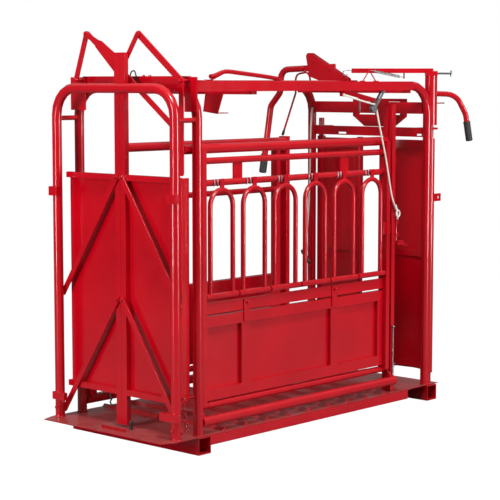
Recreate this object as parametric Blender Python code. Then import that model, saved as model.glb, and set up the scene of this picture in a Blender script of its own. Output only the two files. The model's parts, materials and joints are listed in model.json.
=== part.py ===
"""Cattle crush with a parallel-arm tail gate, squeeze sides and a head gate.

Metres, +X from tail to head, +Z up. The origin is on the ground, under the middle
of the tail skid. Stations (x) are given from the plane of the tail arch, and
heights (h) from the top of the floor plate: at(x, y, h) turns them into the frame.
The near side is -Y and the far side is +Y.
"""
import math

import bmesh
import bpy
from mathutils import Matrix, Vector

# Driving sizes
FRAME_LENGTH = 2.051        # tail arch to head legs
LEG_Y = 0.437               # middle of a frame leg, from the centre line
FRAME_HEIGHT = 1.745        # middle of a top rail, above the floor plate
TUBE_R = 0.0254             # two-inch frame tube
TAIL_BAY = 0.155            # tail arch to inner arch
ARCH_HEIGHT = 1.736         # middle of an arch's top tube
ARCH_BEND = 0.14
RAIL_BEND = 0.15
TOP_RAIL = 0.050            # square top rail
SKID = 0.089                # square skid tube
SKID_WALL = 0.005
SKID_HALF = 0.475
PLATE = 0.004               # floor plate
GAP = 0.0003                # between pieces that touch
RUN = 0.0008                # running clearance round a pin
SIDES = 12                  # faces round a tube
FLAT = math.cos(math.pi / SIDES)
TUBE_FACE = TUBE_R * FLAT   # from a tube's middle to its flats

# Squeeze side panels
PANEL_Y = 0.400             # middle of the panel's rails
POST_Y = 0.415              # middle of the panel's posts
PANEL_START = 0.2195        # inner face of the tail post
PANEL_END = 1.675           # inner face of the head post
PANEL_POST = 0.030
HINGE_H = 0.134
HINGE_R = 0.0175
HINGE_SLEEVES = ((0.258, 0.890), (0.894, 1.552))
HINGE_SLEEVE_R = 0.0190
TOP_TUBE_Y = 0.384
TOP_TUBE_H = 1.435
RAIL_R = 0.017
UPPER_RAIL_H = 1.374
CLIP_RAIL_H = 1.263
SHEET_LOW = 0.160
SHEET_TOP = 0.590

# Drop bars
BAR_COUNT = 6
BAR_R = 0.0127
BAR_WIDTH = 0.165           # between the middles of a bar's two legs
BAR_TOP = 1.240
BAR_HINGE_Y = 0.425
BAR_HINGE_H = 0.691
BAR_SLEEVE_R = 0.0150
BAR_ROD_R = 0.0075
SLEEVE_GAP = 0.012

# Tail gate
ARM_OUT_H = (0.035, 0.660)  # outer pivots of the lower and upper arms
ARM_REACH = 0.417           # sideways, outer pivot to inner pivot
ARM_RISE = 0.625
ARM_PIVOT_IN = 0.020
ARM_X = (0.0285, 0.0365)
ARM_WIDTH = 0.030
DOOR_X = (0.0400, 0.0680)   # front and back of stiles and rails
DOOR_WIDTH = 0.415
DOOR_LOW = 0.165
DOOR_TOP = 1.300
STILE = 0.038
STILE_TOP = 1.915
DOOR_GAP = 0.0010
SHEET = 0.0030
LINK_X = (0.0700, 0.0750)
CRANK_X = (0.0770, 0.0850)
CROSS_X = (0.0875, 0.0925)
LEVER_PIVOT = (-0.402, 1.772)
LEVER_APEX = (-0.102, 2.006)
NEAR_LINK_END = (-0.022, 1.889)
CROSS_LOW = (-0.385, 1.512)
LEVER_END_H = 1.305
CRANK_PIVOT = (0.374, 1.777)
CRANK_APEX = (0.289, 2.013)
FAR_LINK_END = (0.175, 1.960)

# Squeeze shaft and lever
SHAFT_H = 1.757
SHAFT_R = 0.020
SHAFT_START = 0.640
SHAFT_END = 1.865
STUB_R = 0.010              # of the stubs that carry the shaft
ROCKER_X = 1.800
PUSH_X = (1.7160, 1.7220)   # the squeeze link's two faces
PUSH_INNER = (-0.070, 1.716)
PUSH_OUTER = (-0.392, 1.645)
HANG_X = (0.700, 0.708)     # the plate that hangs from the shaft's tail end
PIN_X = 1.776               # release pin, beside the near side post
PIN_Y = -0.428
PIN_R = 0.0060
ROPE_Y = -0.446
ROPE_R = 0.0050
SHEAVE = (1.539, 1.621)     # station and height of the pulley's middle
SHEAVE_R = 0.022

# Head gate
HEAD_POST_X = 2.115
HEAD_POST_Y = 0.415
HEAD_POST_R = 0.017
HEAD_POST_TOP = 1.800
HEAD_DOOR_LOW = 0.060
HEAD_DOOR_TOP = 1.438
NECK_Y = 0.085
HEADER_X = (2.030, 2.072)
HEADER_H = (1.583, 1.650)
LOWER_HEADER_H = (1.449, 1.503)

ARCH_X = -0.165
DECK_TOP = SKID + GAP + PLATE
TAIL_SKID_X = 0.165
HEAD_SKID_X = 2.075

RED = (0.62, 0.012, 0.022, 1.0)
BLACK = (0.012, 0.012, 0.013, 1.0)
ZINC = (0.62, 0.63, 0.65, 1.0)
ROPE = (0.82, 0.80, 0.76, 1.0)


def at(x, y, h):
    """A point from its station, side distance and height above the floor plate."""
    return Vector((x + ARCH_X, y, h + DECK_TOP))


def clear_scene():
    for thing in list(bpy.data.objects):
        bpy.data.objects.remove(thing, do_unlink=True)


def make_object(name, bm):
    """Turn a bmesh into an object with its faces pointing out."""
    bmesh.ops.recalc_face_normals(bm, faces=bm.faces)
    mesh = bpy.data.meshes.new(name)
    bm.to_mesh(mesh)
    bm.free()
    thing = bpy.data.objects.new(name, mesh)
    bpy.context.scene.collection.objects.link(thing)
    return thing


def sweep(path, profile, up):
    """Sweep a flat profile along a path, mitred where the path turns."""
    bm = bmesh.new()
    path = [Vector(p) for p in path]
    steps = [(b - a).normalized() for a, b in zip(path, path[1:])]
    side = (Vector(up) - Vector(up).dot(steps[0]) * steps[0]).normalized()
    other = steps[0].cross(side)
    ring = [path[0] + side * a + other * b for a, b in profile]
    rings = [ring]
    for i, step in enumerate(steps):
        onward = steps[i + 1] if i + 1 < len(steps) else step
        normal = step + onward
        corner = path[i + 1]
        ring = [p + step * ((corner - p).dot(normal) / step.dot(normal)) for p in ring]
        rings.append(ring)
    verts = [[bm.verts.new(p) for p in one] for one in rings]
    for low, high in zip(verts, verts[1:]):
        for k in range(len(profile)):
            n = (k + 1) % len(profile)
            bm.faces.new((low[k], low[n], high[n], high[k]))
    bm.faces.new(verts[0][::-1])
    bm.faces.new(verts[-1])
    return make_object("piece", bm)


def circle(radius, sides=SIDES):
    turn = math.tau / sides
    return [(radius * math.cos(turn * (k + 0.5)), radius * math.sin(turn * (k + 0.5)))
            for k in range(sides)]


def rounded(corners, radius, steps=5):
    """A path through the corners, each inner one turned into an arc."""
    corners = [Vector(c) for c in corners]
    path = [corners[0]]
    for before, corner, after in zip(corners, corners[1:], corners[2:]):
        back = (before - corner).normalized()
        ahead = (after - corner).normalized()
        half = back.angle(ahead) / 2
        reach = radius / math.tan(half)
        middle = corner + (back + ahead).normalized() * (radius / math.sin(half))
        start = corner + back * reach - middle
        end = corner + ahead * reach - middle
        axis = start.cross(end).normalized()
        turn = start.angle(end)
        for k in range(steps + 1):
            path.append(middle + Matrix.Rotation(turn * k / steps, 3, axis) @ start)
    path.append(corners[-1])
    return path


def tube(path, radius, up=(0, 0, 1), sides=SIDES):
    return sweep(path, circle(radius, sides), up)


def rod(start, end, radius, sides=SIDES):
    direction = Vector(end) - Vector(start)
    up = (0, 0, 1) if abs(direction.normalized().z) < 0.9 else (1, 0, 0)
    return sweep((start, end), circle(radius, sides), up)


def block(x, y, h):
    """A box between two stations, side distances and heights."""
    low = at(x[0], min(y), h[0])
    high = at(x[1], max(y), h[1])
    bm = bmesh.new()
    bmesh.ops.create_cube(bm, size=1.0)
    size = high - low
    bmesh.ops.scale(bm, vec=size, verts=bm.verts)
    bmesh.ops.translate(bm, vec=(low + high) / 2, verts=bm.verts)
    return make_object("piece", bm)


def slab(outline, start, end):
    """Extrude an outline of frame points from start to end along one vector."""
    bm = bmesh.new()
    first = [bm.verts.new(Vector(p) + Vector(start)) for p in outline]
    last = [bm.verts.new(Vector(p) + Vector(end)) for p in outline]
    bm.faces.new(first)
    bm.faces.new(last[::-1])
    for k in range(len(outline)):
        n = (k + 1) % len(outline)
        bm.faces.new((first[k], last[k], last[n], first[n]))
    return make_object("piece", bm)


def flat_bar(x, ends, width, steps=6):
    """A flat bar in a cross plane, with round ends, between two (y, h) points."""
    (y0, h0), (y1, h1) = ends
    along = Vector((0, y1 - y0, h1 - h0)).normalized()
    across = Vector((1, 0, 0)).cross(along)
    outline = []
    for centre, sign in ((at(x[0], y1, h1), 1), (at(x[0], y0, h0), -1)):
        for k in range(steps + 1):
            turn = math.pi * (k / steps - 0.5)
            outline.append(centre + (along * math.cos(turn) + across * math.sin(turn))
                           * sign * width / 2)
    return slab(outline, (0, 0, 0), (x[1] - x[0], 0, 0))


def boss(x, point, radius, sides=SIDES):
    """A round pin along X between two stations, at a (y, h) point."""
    return rod(at(x[0], *point), at(x[1], *point), radius, sides)


def combine(body, piece, operation):
    """Apply one Boolean step to a piece and drop the other one."""
    step = body.modifiers.new("step", "BOOLEAN")
    step.object = piece
    step.operation = operation
    step.solver = "EXACT"
    graph = bpy.context.evaluated_depsgraph_get()
    mesh = bpy.data.meshes.new_from_object(body.evaluated_get(graph))
    body.modifiers.clear()
    body.data = mesh
    bpy.data.objects.remove(piece, do_unlink=True)


def plain_material(name, colour, roughness, metallic):
    material = bpy.data.materials.new(name + "_finish")
    material.use_nodes = True
    shader = material.node_tree.nodes["Principled BSDF"]
    shader.inputs["Base Color"].default_value = colour
    shader.inputs["Roughness"].default_value = roughness
    shader.inputs["Metallic"].default_value = metallic
    return material


def finish(name, parts, cuts=(), colour=RED, roughness=0.3, metallic=0.0):
    """Fuse the parts into one named piece, cut it, and give it its own material."""
    body = parts[0]
    for piece in parts[1:]:
        combine(body, piece, "UNION")
    for piece in cuts:
        combine(body, piece, "DIFFERENCE")
    body.name = name
    body.data.name = name
    body.data.shade_smooth()
    body.data.set_sharp_from_angle(angle=math.radians(35))
    body.data.materials.clear()
    body.data.materials.append(plain_material(name, colour, roughness, metallic))
    return body


def hang_on(body, point):
    """Move a piece's origin to its joint without moving its shape."""
    shift = Vector(point)
    body.data.transform(Matrix.Translation(-shift))
    body.location = shift
    return body


# Base


def make_skids():
    """Two square tubes across the ground, open at both ends."""
    for name, station in (("tail_skid", TAIL_SKID_X), ("head_skid", HEAD_SKID_X)):
        x = (station - SKID / 2, station + SKID / 2)
        h = (-DECK_TOP, SKID - DECK_TOP)
        shell = block(x, (-SKID_HALF, SKID_HALF), h)
        inside = block((x[0] + SKID_WALL, x[1] - SKID_WALL), (-SKID_HALF - 0.01, SKID_HALF + 0.01),
                       (h[0] + SKID_WALL, h[1] - SKID_WALL))
        finish(name, [shell], [inside])


CLEAT_COUNT = 9
CLEAT_START = 0.33
CLEAT_PITCH = 0.165
CLEAT_LEG = 0.018
DECK_HALF = 0.470
APRON_START = -0.110
DECK_END = 2.150
STOP_X = (-0.050, -0.044)   # the low bar on the floor before the stiles
STOP_Y = (-0.118, 0.058)


def make_deck():
    """The floor plate with its apron corners cut back, its angle cleats and its low bar."""
    edge = [(APRON_START, 0.44), (-0.03, DECK_HALF), (1.87, DECK_HALF), (1.90, 0.462), (DECK_END, 0.462)]
    outline = [at(x, -y, 0) for x, y in edge] + [at(x, y, 0) for x, y in reversed(edge)]
    parts = [slab(outline, (0, 0, -PLATE), (0, 0, 0))]
    for k in range(CLEAT_COUNT):
        x = CLEAT_START + k * CLEAT_PITCH
        peak = [at(x - CLEAT_LEG, 0, -0.001), at(x, 0, CLEAT_LEG), at(x + CLEAT_LEG, 0, -0.001)]
        parts.append(slab(peak, (0, -0.455, 0), (0, 0.455, 0)))
    parts.append(block(STOP_X, STOP_Y, (-0.001, 0.018)))
    finish("floor_deck", parts)


RAIL_START = TAIL_SKID_X + SKID / 2 + GAP
RAIL_END = 1.850
ANGLE = 0.050
ANGLE_WALL = 0.005


def make_side_rail(side, sign):
    """An angle iron under the edge of the floor plate."""
    top = -PLATE - GAP
    y = (sign * DECK_HALF, sign * (DECK_HALF - ANGLE_WALL))
    upright = block((RAIL_START, RAIL_END), y, (top - ANGLE, top))
    flange = block((RAIL_START, RAIL_END), (sign * (DECK_HALF - 0.001), sign * (DECK_HALF - ANGLE)),
                   (top - ANGLE_WALL, top))
    finish("side_rail_" + side, [upright, flange])


BASE_TUBE_H = 0.064
SIDE_POST_X = (1.735, 1.765)
SIDE_POST_Y = (0.367, 0.430)
EAR = 0.008
PIN_DEEP = 0.030
PANEL_PIN_R = 0.008


def make_base_tube(side, sign):
    """The tube low on each side; the near one has the ears and pins of the moving panel."""
    y = sign * LEG_Y
    start = TAIL_BAY + TUBE_FACE + GAP
    end = SIDE_POST_X[1] - 0.004
    parts = [rod(at(start, y, BASE_TUBE_H), at(end, y, BASE_TUBE_H), TUBE_R)]
    ears = ((PANEL_START - PANEL_POST - EAR - GAP, 1), (PANEL_END + PANEL_POST + GAP, -1))
    for x, inward in ears if sign < 0 else ():
        ear = [(sign * (LEG_Y + 0.012), 0.070), (sign * (LEG_Y + 0.012), 0.106),
               (sign * (PANEL_Y + 0.004), HINGE_H + 0.016), (sign * (PANEL_Y - 0.014), HINGE_H + 0.010),
               (sign * (PANEL_Y - 0.014), HINGE_H - 0.014), (sign * (LEG_Y - 0.014), 0.070)]
        parts.append(slab([at(x, a, b) for a, b in ear], (0, 0, 0), (EAR, 0, 0)))
        tip = x + EAR + PIN_DEEP if inward > 0 else x - PIN_DEEP
        root = x + 0.002 if inward > 0 else x + EAR - 0.002
        parts.append(rod(at(min(tip, root), sign * PANEL_Y, HINGE_H),
                         at(max(tip, root), sign * PANEL_Y, HINGE_H), PANEL_PIN_R))
    finish("base_tube_" + side, parts)


# Frame


def arch_path(x):
    return rounded([at(x, -LEG_Y, GAP), at(x, -LEG_Y, ARCH_HEIGHT), at(x, LEG_Y, ARCH_HEIGHT),
                    at(x, LEG_Y, GAP)], ARCH_BEND)


TIE_H = 1.580
TIE_R = 0.013
LUG_FRONT = -0.034
LOW_LUG_H = (0.095, 0.135)
HIGH_LUG_H = (1.176, 1.224)


def make_tail_arch():
    """The arch in front of the tail gate, with its ties, alley lugs and pivot pads."""
    parts = [tube(arch_path(0.0), TUBE_R, up=(1, 0, 0))]
    for sign in (-1, 1):
        parts.append(rod(at(0.010, sign * LEG_Y, TIE_H),
                         at(TAIL_BAY - TUBE_FACE - GAP, sign * LEG_Y, TIE_H), TIE_R))
        y = (sign * (LEG_Y - 0.030), sign * (LEG_Y + 0.034))
        parts.append(block((LUG_FRONT, -0.010), y, HIGH_LUG_H))
    for y in ((-0.474, -0.352), (0.367, 0.460)):
        parts.append(block((LUG_FRONT, -0.010), y, LOW_LUG_H))
    finish("tail_arch", parts)


CROSSBAR = 0.035


def make_inner_arch():
    """The arch behind the tail gate, with the angle bar welded along its top."""
    top = ARCH_HEIGHT + TUBE_R
    half = LEG_Y - 0.055
    x = (TAIL_BAY - 0.020, TAIL_BAY + 0.015)
    parts = [tube(arch_path(TAIL_BAY), TUBE_R, up=(1, 0, 0))]
    parts.append(block((x[0], x[0] + 0.004), (-half, half), (top - 0.018, top + CROSSBAR)))
    parts.append(block(x, (-half, half), (top + CROSSBAR - 0.004, top + CROSSBAR)))
    finish("inner_arch", parts)


END_PLATE_X = (0.1237, 0.1293)
ROPE_START = (1.262, 1.700)
LOOP_X = (1.452, 1.511, 1.570)
LOOP_H = 1.831
LOOP_R = 0.0035
ROUND_START = 1.870


def make_side_hoop(side, sign, plate_y, pivot):
    """A square top rail that turns into the round head leg, with its tail end plate."""
    y = sign * LEG_Y
    half = TOP_RAIL / 2
    rail = block((END_PLATE_X[0] + 0.002, ROUND_START + 0.012), (y - half, y + half),
                 (FRAME_HEIGHT - half, FRAME_HEIGHT + half))
    leg = tube(rounded([at(ROUND_START - 0.05, y, FRAME_HEIGHT), at(FRAME_LENGTH, y, FRAME_HEIGHT),
                        at(FRAME_LENGTH, y, GAP)], RAIL_BEND), TUBE_R, up=(0, 1, 0))
    h_low = 1.620
    h_top = FRAME_HEIGHT + half + 0.022
    plate = block(END_PLATE_X, plate_y, (h_low, h_top))
    pin = boss((CRANK_X[1] + GAP, END_PLATE_X[0] + 0.002), pivot, 0.010)
    parts = [rail, leg, plate, pin]
    if sign < 0:
        parts.append(block((ROPE_START[0] - 0.008, ROPE_START[0] - GAP - 0.001),
                           (ROPE_Y - 0.008, ROPE_Y + 0.008),
                           (ROPE_START[1] - 0.010, FRAME_HEIGHT - half + 0.002)))
        foot = FRAME_HEIGHT + half - 0.001
        loop = [at(LOOP_X[0], y, foot), at(LOOP_X[1], y, LOOP_H), at(LOOP_X[2], y, foot)]
        parts.append(tube(loop, LOOP_R, up=(0, 1, 0), sides=6))
        for x in (LOOP_X[0], LOOP_X[2]):
            parts.append(block((x - 0.013, x + 0.013), (y - 0.009, y + 0.009), (foot, foot + 0.005)))
    finish("side_hoop_" + side, parts)


PIN_GUIDES = (0.904, 0.975)
GUIDE = 0.018
SIDE_POST_TOP = 1.640
FAR_TOP_H = 1.414


def make_side_post(side, sign):
    """The flat post at the head end of the side; the near one has the release pin's guides."""
    y = (sign * SIDE_POST_Y[0], sign * SIDE_POST_Y[1])
    top = SIDE_POST_TOP if sign < 0 else FAR_TOP_H + 0.030
    post = block(SIDE_POST_X, y, (GAP, top))
    cut = rod(at(SIDE_POST_X[0] - 0.05, sign * LEG_Y, BASE_TUBE_H),
              at(SIDE_POST_X[1] + 0.01, sign * LEG_Y, BASE_TUBE_H), TUBE_R + GAP)
    parts = [post]
    cuts = [cut]
    for h in PIN_GUIDES if sign < 0 else ():
        parts.append(block((SIDE_POST_X[1] - 0.002, PIN_X + PIN_R + 0.007),
                           (PIN_Y - PIN_R - 0.005, PIN_Y + PIN_R + 0.005), (h - GUIDE / 2, h + GUIDE / 2)))
        cuts.append(rod(at(PIN_X, PIN_Y, h - GUIDE), at(PIN_X, PIN_Y, h + GUIDE), PIN_R + RUN))
    finish("side_post_" + side, parts, cuts)


BEAM_X = (0.600, 1.905)
BEAM = 0.040


def make_shaft_beam(name, x):
    """A square beam between the top rails, with the eye that carries the squeeze shaft."""
    half = LEG_Y - TOP_RAIL / 2 - GAP
    h = FRAME_HEIGHT - 0.022
    beam = block((x - BEAM / 2, x + BEAM / 2), (-half, half), (h - BEAM / 2, h + BEAM / 2))
    toward = 1 if x < 1 else -1
    plate = block((x - 0.006, x + 0.006), (-0.032, 0.032), (h, SHAFT_H + 0.020))
    stub = rod(at(x, 0, SHAFT_H), at(x + toward * (BEAM / 2 + 0.030), 0, SHAFT_H), STUB_R)
    finish(name, [beam, plate, stub])


# Side panels


def rail_along(sign, start, end, h, radius, y=PANEL_Y):
    return rod(at(start, sign * y, h), at(end, sign * y, h), radius)


STRAP_X = (0.533, 1.240)
STRAP_PIVOT_H = 0.638
FLAT_RAIL_H = (0.601, 0.659)
PANEL_FACE = 0.4170
SIDE_FACE = POST_Y + 0.025


def make_near_panel():
    """The near squeeze panel: posts, rails, the drop bars' hinge rod and the hangers."""
    tail = (PANEL_START - PANEL_POST, PANEL_START)
    head = (PANEL_END, PANEL_END + PANEL_POST)
    parts = [rail_along(-1, tail[0], head[1], HINGE_H, HINGE_R)]
    cuts = [rail_along(-1, tail[0] - 0.01, tail[0] + PIN_DEEP + 0.004, HINGE_H, PANEL_PIN_R + RUN),
            rail_along(-1, head[1] - PIN_DEEP - 0.004, head[1] + 0.01, HINGE_H, PANEL_PIN_R + RUN)]
    for x in (tail, head):
        parts.append(block(x, (-SIDE_FACE, -0.390), (HINGE_H + 0.004, TOP_TUBE_H)))
    for x in HINGE_SLEEVES:
        parts.append(rail_along(-1, x[0], x[1], HINGE_H, HINGE_SLEEVE_R))
    lug_x = PUSH_X[1] + 2 * GAP + 0.002
    parts.append(rail_along(-1, 0.105, lug_x + 0.006, TOP_TUBE_H, TUBE_R, TOP_TUBE_Y))
    parts.append(rail_along(-1, PANEL_START - 0.01, PANEL_END + 0.01, UPPER_RAIL_H, RAIL_R))
    parts.append(rail_along(-1, PANEL_START - 0.01, PANEL_END + 0.01, CLIP_RAIL_H, RAIL_R))
    ends = (PANEL_START - 0.01, PANEL_END + 0.01)
    parts.append(rail_along(-1, ends[0], ends[1], BAR_HINGE_H, BAR_ROD_R, BAR_HINGE_Y))
    parts.append(block(ends, (-PANEL_FACE, -PANEL_FACE + 0.010), FLAT_RAIL_H))
    for x in (0.485, 1.342):
        parts.append(block((x - 0.033, x + 0.033), (-PANEL_Y - 0.004, -PANEL_Y + 0.004),
                           (CLIP_RAIL_H, UPPER_RAIL_H)))
    lug = [(TOP_TUBE_Y - 0.014, TOP_TUBE_H + 0.010), (TOP_TUBE_Y + 0.014, TOP_TUBE_H + 0.010),
           (-PUSH_OUTER[0] + 0.018, PUSH_OUTER[1]), (-PUSH_OUTER[0] + 0.009, PUSH_OUTER[1] + 0.016),
           (-PUSH_OUTER[0] - 0.009, PUSH_OUTER[1] + 0.016), (-PUSH_OUTER[0] - 0.018, PUSH_OUTER[1])]
    parts.append(slab([at(lug_x, -a, b) for a, b in lug], (0, 0, 0), (0.006, 0, 0)))
    for x in STRAP_X:
        cuts.append(rod(at(x, -PANEL_FACE - 0.01, STRAP_PIVOT_H),
                        at(x, -PANEL_FACE + 0.02, STRAP_PIVOT_H), 0.0064))
    finish("panel_frame_near", parts, cuts)


FAR_WINDOW_START = 0.430
FAR_RAIL_H = 1.130


def make_far_panel():
    """The fixed far side: a low solid side under an open window with one rail."""
    foot = BASE_TUBE_H + TUBE_FACE + GAP
    end = SIDE_POST_X[0] - GAP
    tail = (PANEL_START - PANEL_POST, PANEL_START)
    window = (FAR_WINDOW_START, FAR_WINDOW_START + PANEL_POST)
    head = (PANEL_END, PANEL_END + PANEL_POST)
    top = SHEET_TOP + PANEL_POST
    parts = [rail_along(1, tail[0], end, HINGE_H, HINGE_R)]
    parts.append(block(tail, (SIDE_FACE, 0.390), (foot, top)))
    parts.append(block(window, (SIDE_FACE, 0.390), (top - 0.004, FAR_TOP_H)))
    parts.append(block(head, (SIDE_FACE, 0.390), (foot, FAR_TOP_H)))
    parts.append(block((tail[0] + 0.002, head[1] - 0.002), (SIDE_FACE - 0.002, 0.392),
                       (SHEET_TOP + GAP, top)))
    parts.append(rail_along(1, FAR_WINDOW_START, end, FAR_TOP_H, TUBE_R, TOP_TUBE_Y))
    parts.append(rail_along(1, FAR_WINDOW_START + 0.01, PANEL_END + 0.01, FAR_RAIL_H, RAIL_R))
    finish("panel_frame_far", parts)


RAIL_DEEP = 0.057
MID_BARS = ((0.500, 0.562), (1.216, 1.278))


def make_lower_panel(side, sign):
    """The lower side: a sheet behind a frame of flat rails and two uprights."""
    start = PANEL_START + GAP
    end = PANEL_END - GAP
    face = sign * PANEL_FACE
    back = sign * (PANEL_FACE - 0.025)
    parts = [block((start, end), (face, back), (SHEET_LOW, SHEET_LOW + RAIL_DEEP))]
    parts.append(block((start, end), (face, back), (SHEET_TOP - RAIL_DEEP, SHEET_TOP)))
    for x in ((start, start + 0.030), (end - 0.045, end)) + MID_BARS:
        parts.append(block(x, (face - sign * 0.001, back + sign * 0.001),
                           (SHEET_LOW + 0.01, SHEET_TOP - 0.01)))
    parts.append(block((start + 0.004, end - 0.004), (back + sign * 0.0022, back + sign * (0.0022 + SHEET)),
                       (SHEET_LOW + 0.004, SHEET_TOP - 0.004)))
    finish("lower_panel_" + side, parts)


def make_turn_strap(k, x):
    """A flat strap that turns on its bolt to hold the lower panel's top edge."""
    face = -PANEL_FACE - GAP
    outline = []
    for dx, dh in ((-0.021, 0.017), (0.021, 0.017), (0.021, -0.098), (-0.021, -0.098)):
        outline.append(at(x + dx, 0, STRAP_PIVOT_H + dh))
    strap = slab(outline, (0, face - 0.006, 0), (0, face, 0))
    shank = rod(at(x, face - 0.003, STRAP_PIVOT_H), at(x, -PANEL_FACE + 0.012, STRAP_PIVOT_H), 0.0050)
    head = rod(at(x, face - 0.012, STRAP_PIVOT_H), at(x, face - 0.003, STRAP_PIVOT_H), 0.0090, 6)
    body = finish("turn_strap_%d" % k, [strap, shank, head])
    hang_on(body, at(x, face, STRAP_PIVOT_H))


def make_drop_bar(k):
    """An inverted U of tube on its own hinge sleeve, with the tab that clips it shut."""
    pitch = (PANEL_END - PANEL_START) / BAR_COUNT
    x = PANEL_START + pitch * (k + 0.5)
    y = -BAR_HINGE_Y
    half = BAR_WIDTH / 2
    top = BAR_TOP - BAR_R
    path = rounded([at(x - half, y, BAR_HINGE_H), at(x - half, y, top), at(x + half, y, top),
                    at(x + half, y, BAR_HINGE_H)], half * 0.999, 8)
    parts = [tube(path, BAR_R, up=(0, 1, 0))]
    reach = (pitch - SLEEVE_GAP) / 2
    sleeve = rod(at(x - reach, y, BAR_HINGE_H), at(x + reach, y, BAR_HINGE_H), BAR_SLEEVE_R)
    parts.append(sleeve)
    parts.append(block((x - 0.011, x + 0.018), (y - 0.004, y + 0.002), (BAR_TOP - 0.016, BAR_TOP + 0.043)))
    bore = rod(at(x - pitch, y, BAR_HINGE_H), at(x + pitch, y, BAR_HINGE_H), BAR_ROD_R + RUN)
    body = finish("drop_bar_%d" % (k + 1), parts, [bore])
    hang_on(body, at(x, y, BAR_HINGE_H))


# Tail gate


def make_arm(side, sign, level, outer_h):
    """One of the parallel arms, with a pad toward the arch leg and one toward the stile."""
    outer = (sign * LEG_Y, outer_h)
    inner = (sign * (LEG_Y - ARM_REACH), outer_h + ARM_RISE)
    parts = [flat_bar(ARM_X, (outer, inner), ARM_WIDTH)]
    parts.append(boss((TUBE_FACE + GAP, ARM_X[0] + 0.002), outer, 0.011))
    parts.append(boss((ARM_X[1] - 0.002, DOOR_X[0] - GAP), inner, 0.011))
    parts.append(boss((ARM_X[1] - 0.002, ARM_X[1] + 0.0025), outer, 0.009, 6))
    parts.append(boss((ARM_X[0] - 0.006, ARM_X[0] + 0.002), inner, 0.009, 6))
    body = finish("arm_%s_%s" % (side, level), parts)
    hang_on(body, at(ARM_X[0], *outer))


def make_door(side, sign):
    """A tail gate leaf: its frame of stile and rails, and the flanged sheet behind it."""
    inner = sign * DOOR_GAP / 2
    outer = sign * DOOR_WIDTH
    stile = block(DOOR_X, (inner, inner + sign * STILE), (0.012, STILE_TOP))
    parts = [stile]
    for low in (DOOR_LOW, DOOR_TOP - 0.030):
        parts.append(block((DOOR_X[0] + 0.001, DOOR_X[1] - 0.001), (inner + sign * 0.010, outer),
                           (low, low + 0.030)))
    if sign > 0:
        bracket = [(inner + 0.030, 1.900), (0.150, 1.975), (0.190, 1.985), (0.195, 1.945),
                   (inner + 0.034, 1.800), (inner + 0.030, 1.800)]
        parts.append(slab([at(DOOR_X[0] + 0.016, a, b) for a, b in bracket], (0, 0, 0), (0.006, 0, 0)))
    pivot = at(DOOR_X[0], sign * ARM_PIVOT_IN, ARM_OUT_H[0] + ARM_RISE)
    hang_on(finish("tail_door_" + side, parts), pivot)
    back = DOOR_X[1] + GAP
    edge = outer - sign * SHEET
    sheet = block((back, back + SHEET), (inner + sign * 0.004, outer), (DOOR_LOW + 0.002, DOOR_TOP - 0.002))
    flange = block((back + 0.001, 0.120), (edge, outer), (DOOR_LOW + 0.012, DOOR_TOP - 0.004))
    hang_on(finish("tail_sheet_" + side, [sheet, flange]), pivot)


def make_tail_lever():
    """The near crank and its hanging handle bar, in one plane behind the stiles."""
    foot = (LEVER_PIVOT[0], LEVER_END_H + 0.015)
    parts = [flat_bar(CRANK_X, (LEVER_PIVOT, LEVER_APEX), 0.034)]
    parts.append(flat_bar((CRANK_X[0] + 0.0005, CRANK_X[1] - 0.0005), (LEVER_PIVOT, foot), 0.030))
    parts.append(flat_bar((CRANK_X[0] + 0.001, CRANK_X[1] - 0.0003),
                          ((LEVER_PIVOT[0], CROSS_LOW[1]), CROSS_LOW), 0.028))
    parts.append(boss((CRANK_X[0] - 0.008, CRANK_X[0] + 0.002), LEVER_PIVOT, 0.010, 6))
    hang_on(finish("tail_lever", parts), at(CRANK_X[0], *LEVER_PIVOT))


def make_far_crank():
    parts = [flat_bar(CRANK_X, (CRANK_PIVOT, CRANK_APEX), 0.032)]
    parts.append(boss((CRANK_X[0] - 0.008, CRANK_X[0] + 0.002), CRANK_PIVOT, 0.010, 6))
    hang_on(finish("far_crank", parts), at(CRANK_X[0], *CRANK_PIVOT))


def make_gate_links():
    """The short links to the stiles and the long cross link between the cranks."""
    near = [flat_bar(LINK_X, (LEVER_APEX, NEAR_LINK_END), 0.028),
            boss((LINK_X[1] - 0.002, CRANK_X[0] - GAP), LEVER_APEX, 0.009),
            boss((DOOR_X[1] + GAP, LINK_X[0] + 0.002), NEAR_LINK_END, 0.009)]
    hang_on(finish("near_link", near), at(LINK_X[0], *LEVER_APEX))
    far = [flat_bar(LINK_X, (CRANK_APEX, FAR_LINK_END), 0.028),
           boss((LINK_X[1] - 0.002, CRANK_X[0] - GAP), CRANK_APEX, 0.009),
           boss((DOOR_X[0] + 0.022 + GAP, LINK_X[0] + 0.002), FAR_LINK_END, 0.009)]
    hang_on(finish("far_link", far), at(LINK_X[0], *CRANK_APEX))
    cross = [flat_bar(CROSS_X, (CROSS_LOW, CRANK_APEX), 0.030),
             boss((CRANK_X[1] + GAP, CROSS_X[0] + 0.002), CROSS_LOW, 0.009),
             boss((CRANK_X[1] + GAP, CROSS_X[0] + 0.002), CRANK_APEX, 0.009)]
    hang_on(finish("cross_link", cross), at(CROSS_X[0], *CROSS_LOW))


# Squeeze drive


ROCKER_GAP = 0.022
ROCKER_WALL = 0.006
LEVER_PIPE_R = 0.0190
PIPE_BENDS = ((0.060, 1.855), (0.484, 1.840), (0.487, 1.706), (0.566, 1.622))
PIPE_FOOT = (0.632, 1.222)
GRIP = 0.105
LOCK_START_Y = 0.330
LOCK_END = (1.950, 0.590, 1.443)
PIN_H = (0.862, 1.020)
RAIL_UNDER = FRAME_HEIGHT - TOP_RAIL / 2 - GAP


HUMP = ((0.662, 1.7775), (0.705, 1.7775), (0.800, 1.8130), (0.850, 1.8140), (1.262, 1.7775))


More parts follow.
